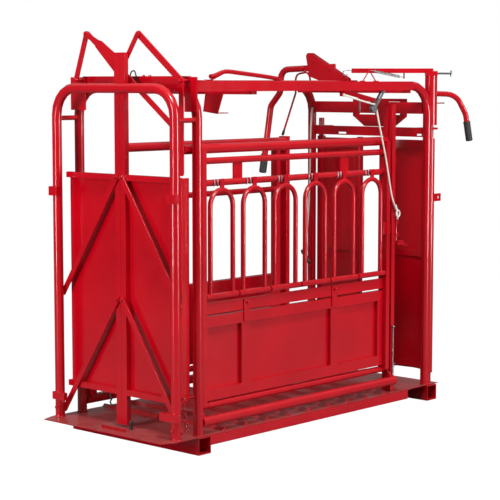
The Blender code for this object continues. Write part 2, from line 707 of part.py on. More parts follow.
def make_squeeze_shaft():
    """The shaft on the centre line: plate, bent strap, link arm and the paired rocker."""
    start = SHAFT_START
    bores = [rod(at(start - 0.01, 0, SHAFT_H), at(start + 0.034, 0, SHAFT_H), STUB_R + RUN),
             rod(at(SHAFT_END - 0.034, 0, SHAFT_H), at(SHAFT_END + 0.01, 0, SHAFT_H), STUB_R + RUN)]
    shaft = rod(at(start, 0, SHAFT_H), at(SHAFT_END, 0, SHAFT_H), SHAFT_R)
    arm_face = PUSH_X[0] - 2 * GAP - 0.001
    parts = [shaft, flat_bar((arm_face - 0.008, arm_face), ((0, SHAFT_H), PUSH_INNER), 0.032)]
    hang = [(0.030, SHAFT_H), (-0.030, SHAFT_H), (-0.098, 1.722), (-0.050, 1.597), (0.055, 1.609)]
    parts.append(slab([at(HANG_X[0], a, b) for a, b in hang], (0, 0, 0), (HANG_X[1] - HANG_X[0], 0, 0)))
    parts.append(block((HANG_X[0], HANG_X[0] + 0.045), (-0.092, -0.046), (1.600, 1.605)))
    path = [at(x, 0, h) for x, h in HUMP]
    strap = [(-0.0025, -0.010), (0.0025, -0.010), (0.0025, 0.010), (-0.0025, 0.010)]
    parts.append(sweep(path, strap, (0, 0, 1)))
    plate = [(-0.050, SHAFT_H - 0.014), (-0.050, SHAFT_H + 0.030), (0.235, 1.938), (0.262, 1.938),
             (0.275, 1.922), (0.250, 1.800), (0.040, SHAFT_H - 0.026)]
    for x in (ROCKER_X, ROCKER_X + ROCKER_GAP):
        parts.append(slab([at(x, a, b) for a, b in plate], (0, 0, 0), (ROCKER_WALL, 0, 0)))
    hang_on(finish("squeeze_shaft", parts, bores), at(ROCKER_X, 0, SHAFT_H))


def make_squeeze_lever():
    """The bent pipe handle clamped between the rocker plates, and its rubber grip."""
    x = ROCKER_X + (ROCKER_GAP + ROCKER_WALL) / 2
    reach = (ROCKER_GAP - ROCKER_WALL) / 2 - GAP
    foot = Vector(at(x, *PIPE_FOOT))
    path = rounded([at(x, *bend) for bend in PIPE_BENDS] + [foot], 0.060, 4)
    pipe = tube(path, LEVER_PIPE_R, up=(1, 0, 0))
    flats = [block((x - 0.05, x - reach), (-0.1, 0.29), (1.70, 2.0)),
             block((x + reach, x + 0.05), (-0.1, 0.29), (1.70, 2.0))]
    hang_on(finish("squeeze_lever", [pipe], flats), at(x, 0, SHAFT_H))
    rise = (at(x, *PIPE_BENDS[-1]) - foot).normalized()
    grip, bore = make_grip(foot, rise, LEVER_PIPE_R, (1, 0, 0))
    hang_on(finish("squeeze_grip", [grip], [bore], BLACK, 0.6), at(x, 0, SHAFT_H))


def make_grip(end, back, radius, up):
    """A closed sleeve over a pipe's end and the bore that fits the pipe."""
    sleeve = sweep((end - back * 0.010, end + back * GRIP), circle(radius + 0.005), up)
    bore = sweep((end - back * GAP, end + back * (GRIP + 0.05)), circle(radius + GAP), up)
    return sleeve, bore


def make_lock_rod():
    """The thin rod that rises from the head beam and hangs over the far rail."""
    x = BEAM_X[1]
    seat = FRAME_HEIGHT - 0.022 + BEAM / 2 + GAP
    path = rounded([at(x, LOCK_START_Y, seat), at(x, LOCK_START_Y, 1.830), at(1.945, 0.482, 1.812),
                    at(1.950, 0.484, 1.700), at(*LOCK_END)], 0.045, 3)
    finish("lock_rod", [tube(path, 0.006, up=(1, 0, 0), sides=8)], colour=ZINC, metallic=1.0)


def make_squeeze_link():
    """The flat link from the hanging arm to the lug on the near panel's top tube."""
    parts = [flat_bar(PUSH_X, (PUSH_INNER, PUSH_OUTER), 0.026)]
    parts.append(boss((PUSH_X[0] - GAP - 0.001, PUSH_X[0] + 0.002), PUSH_INNER, 0.011))
    parts.append(boss((PUSH_X[1] - 0.002, PUSH_X[1] + GAP + 0.002), PUSH_OUTER, 0.011))
    parts.append(boss((PUSH_X[1] - 0.002, PUSH_X[1] + 0.006), PUSH_INNER, 0.010, 6))
    parts.append(boss((PUSH_X[0] - 0.006, PUSH_X[0] + 0.002), PUSH_OUTER, 0.010, 6))
    hang_on(finish("squeeze_link", parts), at(PUSH_X[0], *PUSH_INNER))


# Release pin and its rope

WRAP_R = SHEAVE_R - 0.004 + ROPE_R + 0.0014
WRAP_TURNS = [math.radians(a) for a in (102, 80, 58, 36, 16)]
WRAP = [(SHEAVE[0] + WRAP_R * math.cos(a), ROPE_Y, SHEAVE[1] + WRAP_R * math.sin(a)) for a in WRAP_TURNS]
ROPE_ROUTE = [(ROPE_START[0] + 0.0002, ROPE_Y, ROPE_START[1]), (1.400, ROPE_Y, 1.671), *WRAP,
              (1.600, ROPE_Y, 1.510), (1.656, ROPE_Y, 1.334), (1.712, ROPE_Y, 1.126), (1.756, ROPE_Y, 1.045),
              (PIN_X, PIN_Y - PIN_R - ROPE_R - RUN, 0.990)]


def make_release_pin():
    """The pin in the near post's guides, with the curved paddle that lifts it."""
    pin = rod(at(PIN_X, PIN_Y, PIN_H[0]), at(PIN_X, PIN_Y, PIN_H[1]), PIN_R)
    path = rounded([at(PIN_X - 0.004, PIN_Y, PIN_H[0] + 0.004), at(PIN_X + 0.060, PIN_Y, PIN_H[0] + 0.002),
                    at(PIN_X + 0.102, PIN_Y, PIN_H[0] - 0.030)], 0.06, 4)
    paddle = sweep(path, [(-0.012, -0.002), (0.012, -0.002), (0.012, 0.002), (-0.012, 0.002)], (0, 1, 0))
    hang_on(finish("release_pin", [pin, paddle]), at(PIN_X, PIN_Y, PIN_H[1]))


HANG_FROM = (1.614, 1.632)  # where the pulley's straps meet the rail


def make_rope_pulley():
    """A grooved sheave between two cheeks, hung by a strap from the near top rail."""
    x, h = SHEAVE
    groove = ROPE_R + 0.001
    hub = rod(at(x, ROPE_Y - 0.010, h), at(x, ROPE_Y + 0.010, h), SHEAVE_R - 0.004)
    parts = [hub]
    for sign in (-1, 1):
        edge = (ROPE_Y + sign * groove, ROPE_Y + sign * 0.010)
        parts.append(rod(at(x, edge[0], h), at(x, edge[1], h), SHEAVE_R))
        cheek = [(x - 0.008, h), (x + 0.005, h - 0.007), (HANG_FROM[1], RAIL_UNDER),
                 (HANG_FROM[0], RAIL_UNDER)]
        start = edge[1] - sign * 0.001
        parts.append(slab([at(a, start, b) for a, b in cheek], (0, 0, 0), (0, sign * 0.003, 0)))
    parts.append(block(HANG_FROM, (ROPE_Y - 0.0115, ROPE_Y + 0.0115), (RAIL_UNDER - 0.004, RAIL_UNDER)))
    finish("rope_pulley", parts, colour=ZINC, metallic=1.0)


def make_release_rope():
    """The rope from its lug, over the pulley and down beside the release pin."""
    curve = bpy.data.curves.new("release_rope", "CURVE")
    curve.dimensions = "3D"
    curve.bevel_depth = ROPE_R
    curve.bevel_resolution = 2
    curve.use_fill_caps = True
    points = smooth_route(ROPE_ROUTE, 0.010)
    line = curve.splines.new("POLY")
    line.points.add(len(points) - 1)
    for point, (x, y, h) in zip(line.points, points):
        point.co = (*at(x, y, h), 1)
    thing = bpy.data.objects.new("release_rope", curve)
    bpy.context.scene.collection.objects.link(thing)
    curve.materials.append(plain_material("release_rope", ROPE, 0.8, 0.0))


def smooth_route(route, step):
    """Evenly spaced points on a smooth curve through a route's own points."""
    route = [Vector(p) for p in route]
    ends = [2 * route[0] - route[1]] + route + [2 * route[-1] - route[-2]]
    fine = []
    for a, b, c, d in zip(ends, ends[1:], ends[2:], ends[3:]):
        for k in range(20):
            t = k / 20
            fine.append(0.5 * (2 * b + (c - a) * t + (2 * a - 5 * b + 4 * c - d) * t * t
                               + (3 * b - a - 3 * c + d) * t ** 3))
    fine.append(route[-1])
    length = sum((q - p).length for p, q in zip(fine, fine[1:]))
    count = round(length / step)
    points = [fine[0]]
    walked = 0.0
    for p, q in zip(fine, fine[1:]):
        hop = (q - p).length
        while len(points) < count and walked + hop >= length * len(points) / count:
            points.append(p.lerp(q, (length * len(points) / count - walked) / hop))
        walked += hop
    points.append(fine[-1])
    return points


# Head gate


def make_head_post(side, sign):
    """The round post that the head door turns on."""
    y = sign * HEAD_POST_Y
    top = HEAD_POST_TOP if sign < 0 else LOWER_HEADER_H[1] + 0.045
    finish("head_post_" + side, [rod(at(HEAD_POST_X, y, GAP), at(HEAD_POST_X, y, top), HEAD_POST_R)])


YOKE_X = 2.160


def make_headers():
    """The two beams over the head opening; the lower one holds the door posts."""
    half = LEG_Y - TUBE_FACE - GAP
    finish("header_beam", [block(HEADER_X, (-half, half), HEADER_H)])
    low, high = LOWER_HEADER_H
    parts = [block((2.040, 2.052), (-half, half), (low, high))]
    cuts = []
    for sign in (-1, 1):
        y = (sign * (HEAD_POST_Y - 0.030), sign * (HEAD_POST_Y - 0.070))
        parts.append(block((2.046, 2.090), y, (high - 0.012, high)))
        parts.append(block((2.080, HEAD_POST_X + 0.030),
                           (sign * (HEAD_POST_Y - 0.070), sign * (HEAD_POST_Y + 0.030)),
                           (high - 0.012, high)))
        cuts.append(rod(at(HEAD_POST_X, sign * HEAD_POST_Y, low - 0.05),
                        at(HEAD_POST_X, sign * HEAD_POST_Y, high + 0.05), HEAD_POST_R + GAP))
    for y in ((-0.405, -0.365), (0.159, 0.225)):
        cuts.append(block((2.030, 2.060), y, (1.456, 1.467)))
    finish("lower_header", parts, cuts)
    yoke = [(-0.205, 1.562), (-0.205, 1.668), (0.205, 1.668), (0.205, 1.562),
            (0.116, 1.501), (-0.116, 1.501)]
    parts = [slab([at(YOKE_X, a, b) for a, b in yoke], (0, 0, 0), (0.006, 0, 0))]
    windows = []
    for sign in (-1, 1):
        parts.append(block((HEADER_X[1] + GAP, YOKE_X + 0.002), (sign * 0.168, sign * 0.186),
                           (1.600, 1.640)))
        windows.append(block((YOKE_X - 0.01, YOKE_X + 0.02), (sign * 0.033, sign * 0.154), (1.572, 1.650)))
    finish("yoke_plate", parts, windows)


DOOR_LUG_H = (1.070, 1.115)


def make_head_door(side, sign):
    """A full-height head door: bored hinge tube, bowed sheet, rails and neck tube."""
    y = sign * HEAD_POST_Y
    low = HEAD_DOOR_LOW
    top = HEAD_DOOR_TOP
    hinge = rod(at(HEAD_POST_X, y, low), at(HEAD_POST_X, y, top), TUBE_R)
    neck_x = HEAD_POST_X - 0.030
    neck = rod(at(neck_x, sign * NECK_Y, low), at(neck_x, sign * NECK_Y, top), 0.019)
    bow = [(sign * (HEAD_POST_Y - 0.010), HEAD_POST_X - 0.004), (sign * 0.300, HEAD_POST_X + 0.022),
           (sign * 0.190, HEAD_POST_X + 0.012), (sign * NECK_Y, HEAD_POST_X - 0.030)]
    outline = [at(x - 0.002, yy, 0) for yy, x in bow] + [at(x + 0.002, yy, 0) for yy, x in reversed(bow)]
    sheet = slab(outline, (0, 0, low + 0.010), (0, 0, top - 0.010))
    wide = [at(x - 0.012, yy, 0) for yy, x in bow] + [at(x + 0.012, yy, 0) for yy, x in reversed(bow)]
    parts = [hinge, neck, sheet]
    for h in (low + 0.020, 0.740, top - 0.060):
        parts.append(slab(wide, (0, 0, h), (0, 0, h + 0.035)))
    parts.append(block((HEAD_POST_X + 0.020, 2.219), (y - 0.003, y + 0.003), DOOR_LUG_H))
    hole_h = sum(DOOR_LUG_H) / 2
    cuts = [rod(at(HEAD_POST_X, y, low - 0.05), at(HEAD_POST_X, y, top + 0.05), HEAD_POST_R + RUN),
            rod(at(2.196, y - 0.02, hole_h), at(2.196, y + 0.02, hole_h), 0.009)]
    hang_on(finish("head_door_" + side, parts, cuts), at(HEAD_POST_X, y, 0))


LEVER_SLEEVE_R = 0.036
LEVER_SLEEVE_H = (LOWER_HEADER_H[1] + 0.014, HEAD_POST_TOP + 0.004)
LEVER_AIM = Vector((0.682, -0.731, 0)).normalized()
SPRING_SIDE = Vector((0.731, 0.682, 0)).normalized()
SPRING_OFFSETS = (0.036, 0.058)
SPRING_START = 0.360        # from the post's axis, along the channel arm
SPRING_END = 0.165
SPRING_RISE = (0.030, -0.012)
SPRING_SEAT = 0.0006
SPRING_TAB = 0.004
HANDLE_H = 1.699
STUD_H = 1.644
HANDLE_R = 0.0160


def make_head_lever():
    """The sleeve on the near post with its channel arm on top and its side handle."""
    centre = Vector(at(HEAD_POST_X, -HEAD_POST_Y, 0))
    low, top = LEVER_SLEEVE_H
    up = Vector((0, 0, 1))
    parts = [rod(centre + up * low, centre + up * top, LEVER_SLEEVE_R)]
    post = rod(centre + up * (low - 0.05), centre + up * (HEAD_POST_TOP + RUN), HEAD_POST_R + RUN)
    profile = [(-0.0135, -0.020), (0.0135, -0.020), (0.0135, 0.020), (-0.0135, 0.020)]
    inner = [(-0.0200, -0.016), (0.0095, -0.016), (0.0095, 0.016), (-0.0200, 0.016)]
    reach = 0.462
    base = centre + up * (top + 0.0275)
    parts.append(sweep((base + LEVER_AIM * 0.010, base - LEVER_AIM * reach), profile, up))
    cap = [(-0.002, -0.030), (0.026, -0.030), (0.026, 0.030), (-0.002, 0.030)]
    head = centre + up * top
    parts.append(sweep((head + LEVER_AIM * 0.034, head - LEVER_AIM * 0.034), cap, up))
    parts.append(rod(centre + up * STUD_H, centre + up * STUD_H + Vector((0.113, -0.012, 0)), 0.004, 6))
    for start, rise, height in ((-SPRING_START - SPRING_SEAT - SPRING_TAB, SPRING_RISE[0], 0.006),
                                (-SPRING_END + SPRING_SEAT, SPRING_RISE[1], 0.030)):
        edge = centre + up * (top + rise) + LEVER_AIM * (start + SPRING_TAB / 2)
        half = SPRING_TAB / 2
        tab = [(-0.006, -half), (height, -half), (height, half), (-0.006, half)]
        out = edge - SPRING_SIDE * (SPRING_OFFSETS[1] + 0.008)
        parts.append(sweep((edge - SPRING_SIDE * 0.0165, out), tab, up))
    channel = sweep((base - LEVER_AIM * 0.045, base - LEVER_AIM * (reach + 0.01)), inner, up)
    start = centre + up * HANDLE_H + LEVER_AIM * 0.025
    path = rounded([start, start + LEVER_AIM * 0.120 - up * 0.004, start + LEVER_AIM * 0.178 - up * 0.120,
                    start + LEVER_AIM * 0.200 - up * 0.265], 0.09, 4)
    parts.append(tube(path, HANDLE_R, up=SPRING_SIDE))
    finish("head_lever", parts, [post, channel])
    end = Vector(path[-1])
    back = (Vector(path[-2]) - end).normalized()
    grip, bore = make_grip(end, back, HANDLE_R, SPRING_SIDE)
    finish("head_grip", [grip], [bore], BLACK, 0.6)


SPRING_WIRE = 0.0011
SPRING_R = 0.0075
SPRING_TURNS = 18
SPRING_STEPS = 8


def spring_path(start, end):
    """A straight lead, even turns and a straight lead, along the line between two hooks."""
    start = Vector(start)
    end = Vector(end)
    along = (end - start).normalized()
    side = along.cross(Vector((0, 0, 1))).normalized()
    other = along.cross(side)
    lead = 0.020
    length = (end - start).length - 2 * lead
    points = [start, start + along * (lead - 0.004)]
    for k in range(SPRING_TURNS * SPRING_STEPS + 1):
        turn = math.tau * k / SPRING_STEPS
        reach = lead + length * k / (SPRING_TURNS * SPRING_STEPS)
        points.append(start + along * reach + (side * math.cos(turn) + other * math.sin(turn)) * SPRING_R)
    points.append(end - along * (lead - 0.004))
    points.append(end)
    return points


def least_turn_gap(points):
    """The least distance between the wire's surfaces on neighbouring turns."""
    best = 1.0
    for i, p in enumerate(points):
        for q in points[i + SPRING_STEPS - 2:i + SPRING_STEPS + 3]:
            best = min(best, (p - q).length)
    return best - 2 * SPRING_WIRE


def make_springs():
    """Two extension springs beside the channel arm, as unbroken coils of wire."""
    base = Vector(at(HEAD_POST_X, -HEAD_POST_Y, LEVER_SLEEVE_H[1]))
    for k, offset in zip("12", SPRING_OFFSETS):
        start = base - LEVER_AIM * SPRING_START - SPRING_SIDE * offset + Vector((0, 0, SPRING_RISE[0]))
        end = base - LEVER_AIM * SPRING_END - SPRING_SIDE * offset + Vector((0, 0, SPRING_RISE[1]))
        points = spring_path(start, end)
        print("spring_%s least gap between turns, mm: %.2f" % (k, least_turn_gap(points) * 1000))
        curve = bpy.data.curves.new("spring_" + k, "CURVE")
        curve.dimensions = "3D"
        curve.bevel_depth = SPRING_WIRE
        curve.bevel_resolution = 1
        curve.use_fill_caps = True
        line = curve.splines.new("POLY")
        line.points.add(len(points) - 1)
        for point, place in zip(line.points, points):
            point.co = (*place, 1)
        thing = bpy.data.objects.new("spring_" + k, curve)
        bpy.context.scene.collection.objects.link(thing)
        curve.materials.append(plain_material("spring_" + k, ZINC, 0.3, 1.0))


def build():
    clear_scene()
    make_skids()
    make_deck()
    make_tail_arch()
    make_inner_arch()
    make_side_hoop("near", -1, (-0.467, -0.380), LEVER_PIVOT)
    make_side_hoop("far", 1, (0.352, 0.467), CRANK_PIVOT)
    for side, sign in (("near", -1), ("far", 1)):
        make_side_rail(side, sign)
        make_base_tube(side, sign)
        make_side_post(side, sign)
        make_lower_panel(side, sign)
        make_door(side, sign)
        make_arm(side, sign, "lower", ARM_OUT_H[0])
        make_arm(side, sign, "upper", ARM_OUT_H[1])
        make_head_post(side, sign)
        make_head_door(side, sign)
    make_shaft_beam("shaft_beam_tail", BEAM_X[0])
    make_shaft_beam("shaft_beam_head", BEAM_X[1])
    make_near_panel()
    make_far_panel()
    for k, x in enumerate(STRAP_X):
        make_turn_strap(k + 1, x)
    for k in range(BAR_COUNT):
        make_drop_bar(k)
    make_tail_lever()
    make_far_crank()
    make_gate_links()
    make_squeeze_shaft()
    make_squeeze_lever()
    make_lock_rod()
    make_squeeze_link()
    make_release_pin()
    make_rope_pulley()
    make_release_rope()
    make_headers()
    make_head_lever()
    make_springs()


build()
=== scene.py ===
"""The looks of a red-enamelled cattle crush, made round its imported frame.

Metres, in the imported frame. at() gives a point from its station, which counts from the
tail arch towards the head, its side distance (the near side is negative) and its
height above the floor plate.
"""
import json
import math

import bmesh
import bpy
from mathutils import Matrix, Vector

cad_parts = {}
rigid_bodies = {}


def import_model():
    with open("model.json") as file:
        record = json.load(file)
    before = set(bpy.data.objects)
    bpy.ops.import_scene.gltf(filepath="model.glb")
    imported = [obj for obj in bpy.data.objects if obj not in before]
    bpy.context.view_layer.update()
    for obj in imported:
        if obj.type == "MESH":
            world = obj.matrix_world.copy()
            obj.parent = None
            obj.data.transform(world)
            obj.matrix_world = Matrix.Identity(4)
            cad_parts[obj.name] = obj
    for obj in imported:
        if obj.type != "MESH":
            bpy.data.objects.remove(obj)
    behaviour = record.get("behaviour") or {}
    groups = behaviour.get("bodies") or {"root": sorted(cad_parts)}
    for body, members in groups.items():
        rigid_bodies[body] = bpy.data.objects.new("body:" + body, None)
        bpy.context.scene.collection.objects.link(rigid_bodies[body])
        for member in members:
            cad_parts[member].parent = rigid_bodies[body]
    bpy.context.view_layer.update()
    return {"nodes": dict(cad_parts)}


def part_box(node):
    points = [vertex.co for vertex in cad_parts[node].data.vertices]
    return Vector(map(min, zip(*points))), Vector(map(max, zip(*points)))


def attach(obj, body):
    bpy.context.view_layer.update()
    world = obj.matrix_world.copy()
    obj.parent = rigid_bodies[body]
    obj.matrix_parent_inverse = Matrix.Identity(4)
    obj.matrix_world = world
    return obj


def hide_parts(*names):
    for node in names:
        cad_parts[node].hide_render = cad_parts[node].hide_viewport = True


for spare in list(bpy.data.objects):
    bpy.data.objects.remove(spare, do_unlink=True)
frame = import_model()

# The view: the photograph was taken from behind the near corner of the tail, a little
# above the middle of the machine, with a long lens.
camera = bpy.data.objects.new("camera", bpy.data.cameras.new("camera"))
bpy.context.scene.collection.objects.link(camera)
YAW = 0.7452
PITCH = 0.1038
camera.location = (-5.7008, -6.0426, 1.8623)
aim = Vector((math.cos(YAW) * math.cos(PITCH), math.sin(YAW) * math.cos(PITCH), -math.sin(PITCH)))
camera.rotation_mode = "QUATERNION"
camera.rotation_quaternion = aim.to_track_quat("-Z", "Y")
camera.data.sensor_width = 36.0
camera.data.lens = 116.4
bpy.context.scene.camera = camera

# Release rope: three-strand polyester, 10 mm, from its lug under the near top rail over
# the pulley and down to the eye beside the release pin. Its strands are laid
# right-handed, one turn in 34 mm.
ARCH_X = -0.165
PLATE_TOP = 0.0933


def at(x, y, h):
    """A point from its station, its side distance and its height over the plate."""
    return Vector((x + ARCH_X, y, h + PLATE_TOP))


def linear(code):
    """An sRGB hex colour as linear red, green, blue and alpha."""
    parts = [int(code[i:i + 2], 16) / 255 for i in (1, 3, 5)]
    return (*[p / 12.92 if p <= 0.04045 else ((p + 0.055) / 1.055) ** 2.4 for p in parts], 1.0)


def add(tree, kind, inputs=None, **settings):
    """A shader node of one kind with its settings, its values and its links."""
    made = tree.nodes.new("ShaderNode" + kind)
    for name, value in settings.items():
        setattr(made, name, value)
    for name, value in (inputs or {}).items():
        if isinstance(value, bpy.types.NodeSocket):
            tree.links.new(value, made.inputs[name])
        else:
            made.inputs[name].default_value = value
    return made


def empty_material(name):
    """A new material with nothing but its output."""
    stuff = bpy.data.materials.new(name)
    stuff.use_nodes = True
    stuff.node_tree.nodes.clear()
    return stuff, stuff.node_tree, add(stuff.node_tree, "OutputMaterial")


def show(piece, body):
    """Puts a finished piece in the scene and on its body."""
    if piece.name not in bpy.context.scene.collection.objects:
        bpy.context.scene.collection.objects.link(piece)
    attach(piece, body)
    return piece


ROPE_R = 0.0050
ROPE_Y = -0.446
ROPE_LAY = 0.034
ROPE_STEP = 0.0025
SHEAVE = (1.539, 1.621)
WRAP_R = 0.0244
wrap = [(SHEAVE[0] + WRAP_R * math.cos(turn), ROPE_Y, SHEAVE[1] + WRAP_R * math.sin(turn))
        for turn in map(math.radians, (102, 80, 58, 36, 16))]
rope_stops = [(1.2622, ROPE_Y, 1.700), (1.400, ROPE_Y, 1.671), *wrap, (1.600, ROPE_Y, 1.510),
              (1.656, ROPE_Y, 1.334), (1.712, ROPE_Y, 1.126), (1.756, ROPE_Y, 1.045),
              (1.776, -0.4398, 0.990)]


def smooth_line(stops, step):
    """Evenly spaced points on a smooth curve through some stops."""
    stops = [Vector(p) for p in stops]
    ends = [2 * stops[0] - stops[1]] + stops + [2 * stops[-1] - stops[-2]]
    fine = []
    for a, b, c, d in zip(ends, ends[1:], ends[2:], ends[3:]):
        for k in range(40):
            t = k / 40
            fine.append(0.5 * (2 * b + (c - a) * t + (2 * a - 5 * b + 4 * c - d) * t * t
                               + (3 * b - a - 3 * c + d) * t ** 3))
    fine.append(stops[-1])
    length = sum((q - p).length for p, q in zip(fine, fine[1:]))
    count = max(2, round(length / step))
    points = [fine[0]]
    walked = 0.0
    for p, q in zip(fine, fine[1:]):
        hop = (q - p).length
        while len(points) < count and walked + hop >= length * len(points) / count:
            points.append(p.lerp(q, (length * len(points) / count - walked) / hop))
        walked += hop
    points.append(fine[-1])
    return points


def polyester_rope():
    """Laid polyester: matt, off-white, with a painted shade, a little grey, in the hollows between its
    yarns.

    Its yarns are 0.4 mm, drawn at 1.5 mm so that they show."""
    stuff, tree, out = empty_material("polyester_rope")
    place = add(tree, "TexCoord").outputs["Object"]
    yarns = add(tree, "TexNoise", {"Vector": place, "Scale": 1 / 0.0015, "Detail": 2.0})
    # Painted shade: where the yarn bump is low, between the yarns, the rope is mixed towards a greyer tone.
    tone = add(tree, "Mix", {"Factor": yarns.outputs["Fac"], "A": linear("#cfc9bd"), "B": linear("#f3efe6")},
               data_type="RGBA")
    bump = add(tree, "Bump", {"Height": yarns.outputs["Fac"], "Strength": 0.4, "Distance": 0.0005})
    cloth = add(tree, "BsdfPrincipled", {"Base Color": tone.outputs["Result"], "Roughness": 0.85,
                                         "Normal": bump.outputs["Normal"]})
    cloth.inputs["Sheen Weight"].default_value = 0.3
    tree.links.new(cloth.outputs["BSDF"], out.inputs["Surface"])
    return stuff


ROPE_SIDES = 24


def laid_rope(name, line, stuff):
    """Three strands laid together along a line of points."""
    shape = bmesh.new()
    rings = []
    walked = 0.0
    for i, here in enumerate(line):
        ahead = line[min(i + 1, len(line) - 1)]
        behind = line[max(i - 1, 0)]
        along = (ahead - behind).normalized()
        across = Vector((0, 1, 0)).cross(along).normalized()
        other = along.cross(across)
        walked += (here - behind).length
        twist = math.tau * walked / ROPE_LAY
        ring = []
        for k in range(ROPE_SIDES):
            turn = math.tau * k / ROPE_SIDES
            lobe = abs(math.cos(1.5 * (turn - twist)))
            reach = ROPE_R * (0.80 + 0.20 * lobe ** 0.6)
            ring.append(shape.verts.new(here + (across * math.cos(turn) + other * math.sin(turn)) * reach))
        rings.append(ring)
    for one, two in zip(rings, rings[1:]):
        for k in range(ROPE_SIDES):
            shape.faces.new((one[k], one[(k + 1) % ROPE_SIDES], two[(k + 1) % ROPE_SIDES], two[k]))
    shape.faces.new(list(reversed(rings[0])))
    shape.faces.new(rings[-1])
    bmesh.ops.recalc_face_normals(shape, faces=shape.faces)
    mesh = bpy.data.meshes.new(name)
    shape.to_mesh(mesh)
    shape.free()
    mesh.shade_smooth()
    mesh.materials.append(stuff)
    return show(bpy.data.objects.new(name, mesh), "frame")


rope_line = [at(*p) for p in smooth_line(rope_stops, ROPE_STEP)]
rope_stuff = polyester_rope()
rope = laid_rope("release_rope_laid", rope_line, rope_stuff)
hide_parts("release_rope")


def rods(name, stuff, radius, routes, body, closed=False, swell=None, fineness=3):
    """Round bars along their routes, as one piece; swell varies a bar's radius point by point."""
    curve = bpy.data.curves.new(name, "CURVE")
    curve.dimensions = "3D"
    curve.bevel_depth = radius
    curve.bevel_resolution = fineness
    curve.use_fill_caps = not closed
    for route in routes:
        line = curve.splines.new("POLY")
        line.points.add(len(route) - 1)
        for i, (point, place) in enumerate(zip(line.points, route)):
            point.co = (*place, 1)
            point.radius = swell(i) if swell else 1.0
        line.use_cyclic_u = closed
        line.use_smooth = True
    curve.materials.append(stuff)
    return show(bpy.data.objects.new(name, curve), body)


def coil(start, end, radius, turns, steps=16):
    """Points round the line from one point to another."""
    along = (end - start).normalized()
    side = along.cross(Vector((0.3, 0.2, 1))).normalized()
    other = along.cross(side)
    return [start.lerp(end, k / (turns * steps))
            + (side * math.cos(math.tau * k / steps) + other * math.sin(math.tau * k / steps)) * radius
            for k in range(turns * steps + 1)]


TWINE_R = 0.0024
EYE_R = 0.0042
whips = [coil(at(1.742, ROPE_Y, 1.074), at(1.756, -0.4450, 1.046), 0.0066, 6),
         coil(at(1.268, ROPE_Y, 1.6988), at(1.284, ROPE_Y, 1.6955), 0.0064, 5)]
whipping = rods("rope_whipping", rope_stuff, TWINE_R, whips, "frame")
eye_turns = [math.tau * k / 28 for k in range(28)]
eye = [at(1.7600 + 0.0155 * math.cos(turn), -0.4545, 1.0240 + 0.0185 * math.sin(turn))
       for turn in eye_turns]
rope_eye = rods("rope_eye", rope_stuff, EYE_R, [eye], "frame", closed=True)
rope_length = sum((q - p).length for p, q in zip(rope_line, rope_line[1:]))
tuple(rope_line[0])
[tuple(p) for p in rope_line]
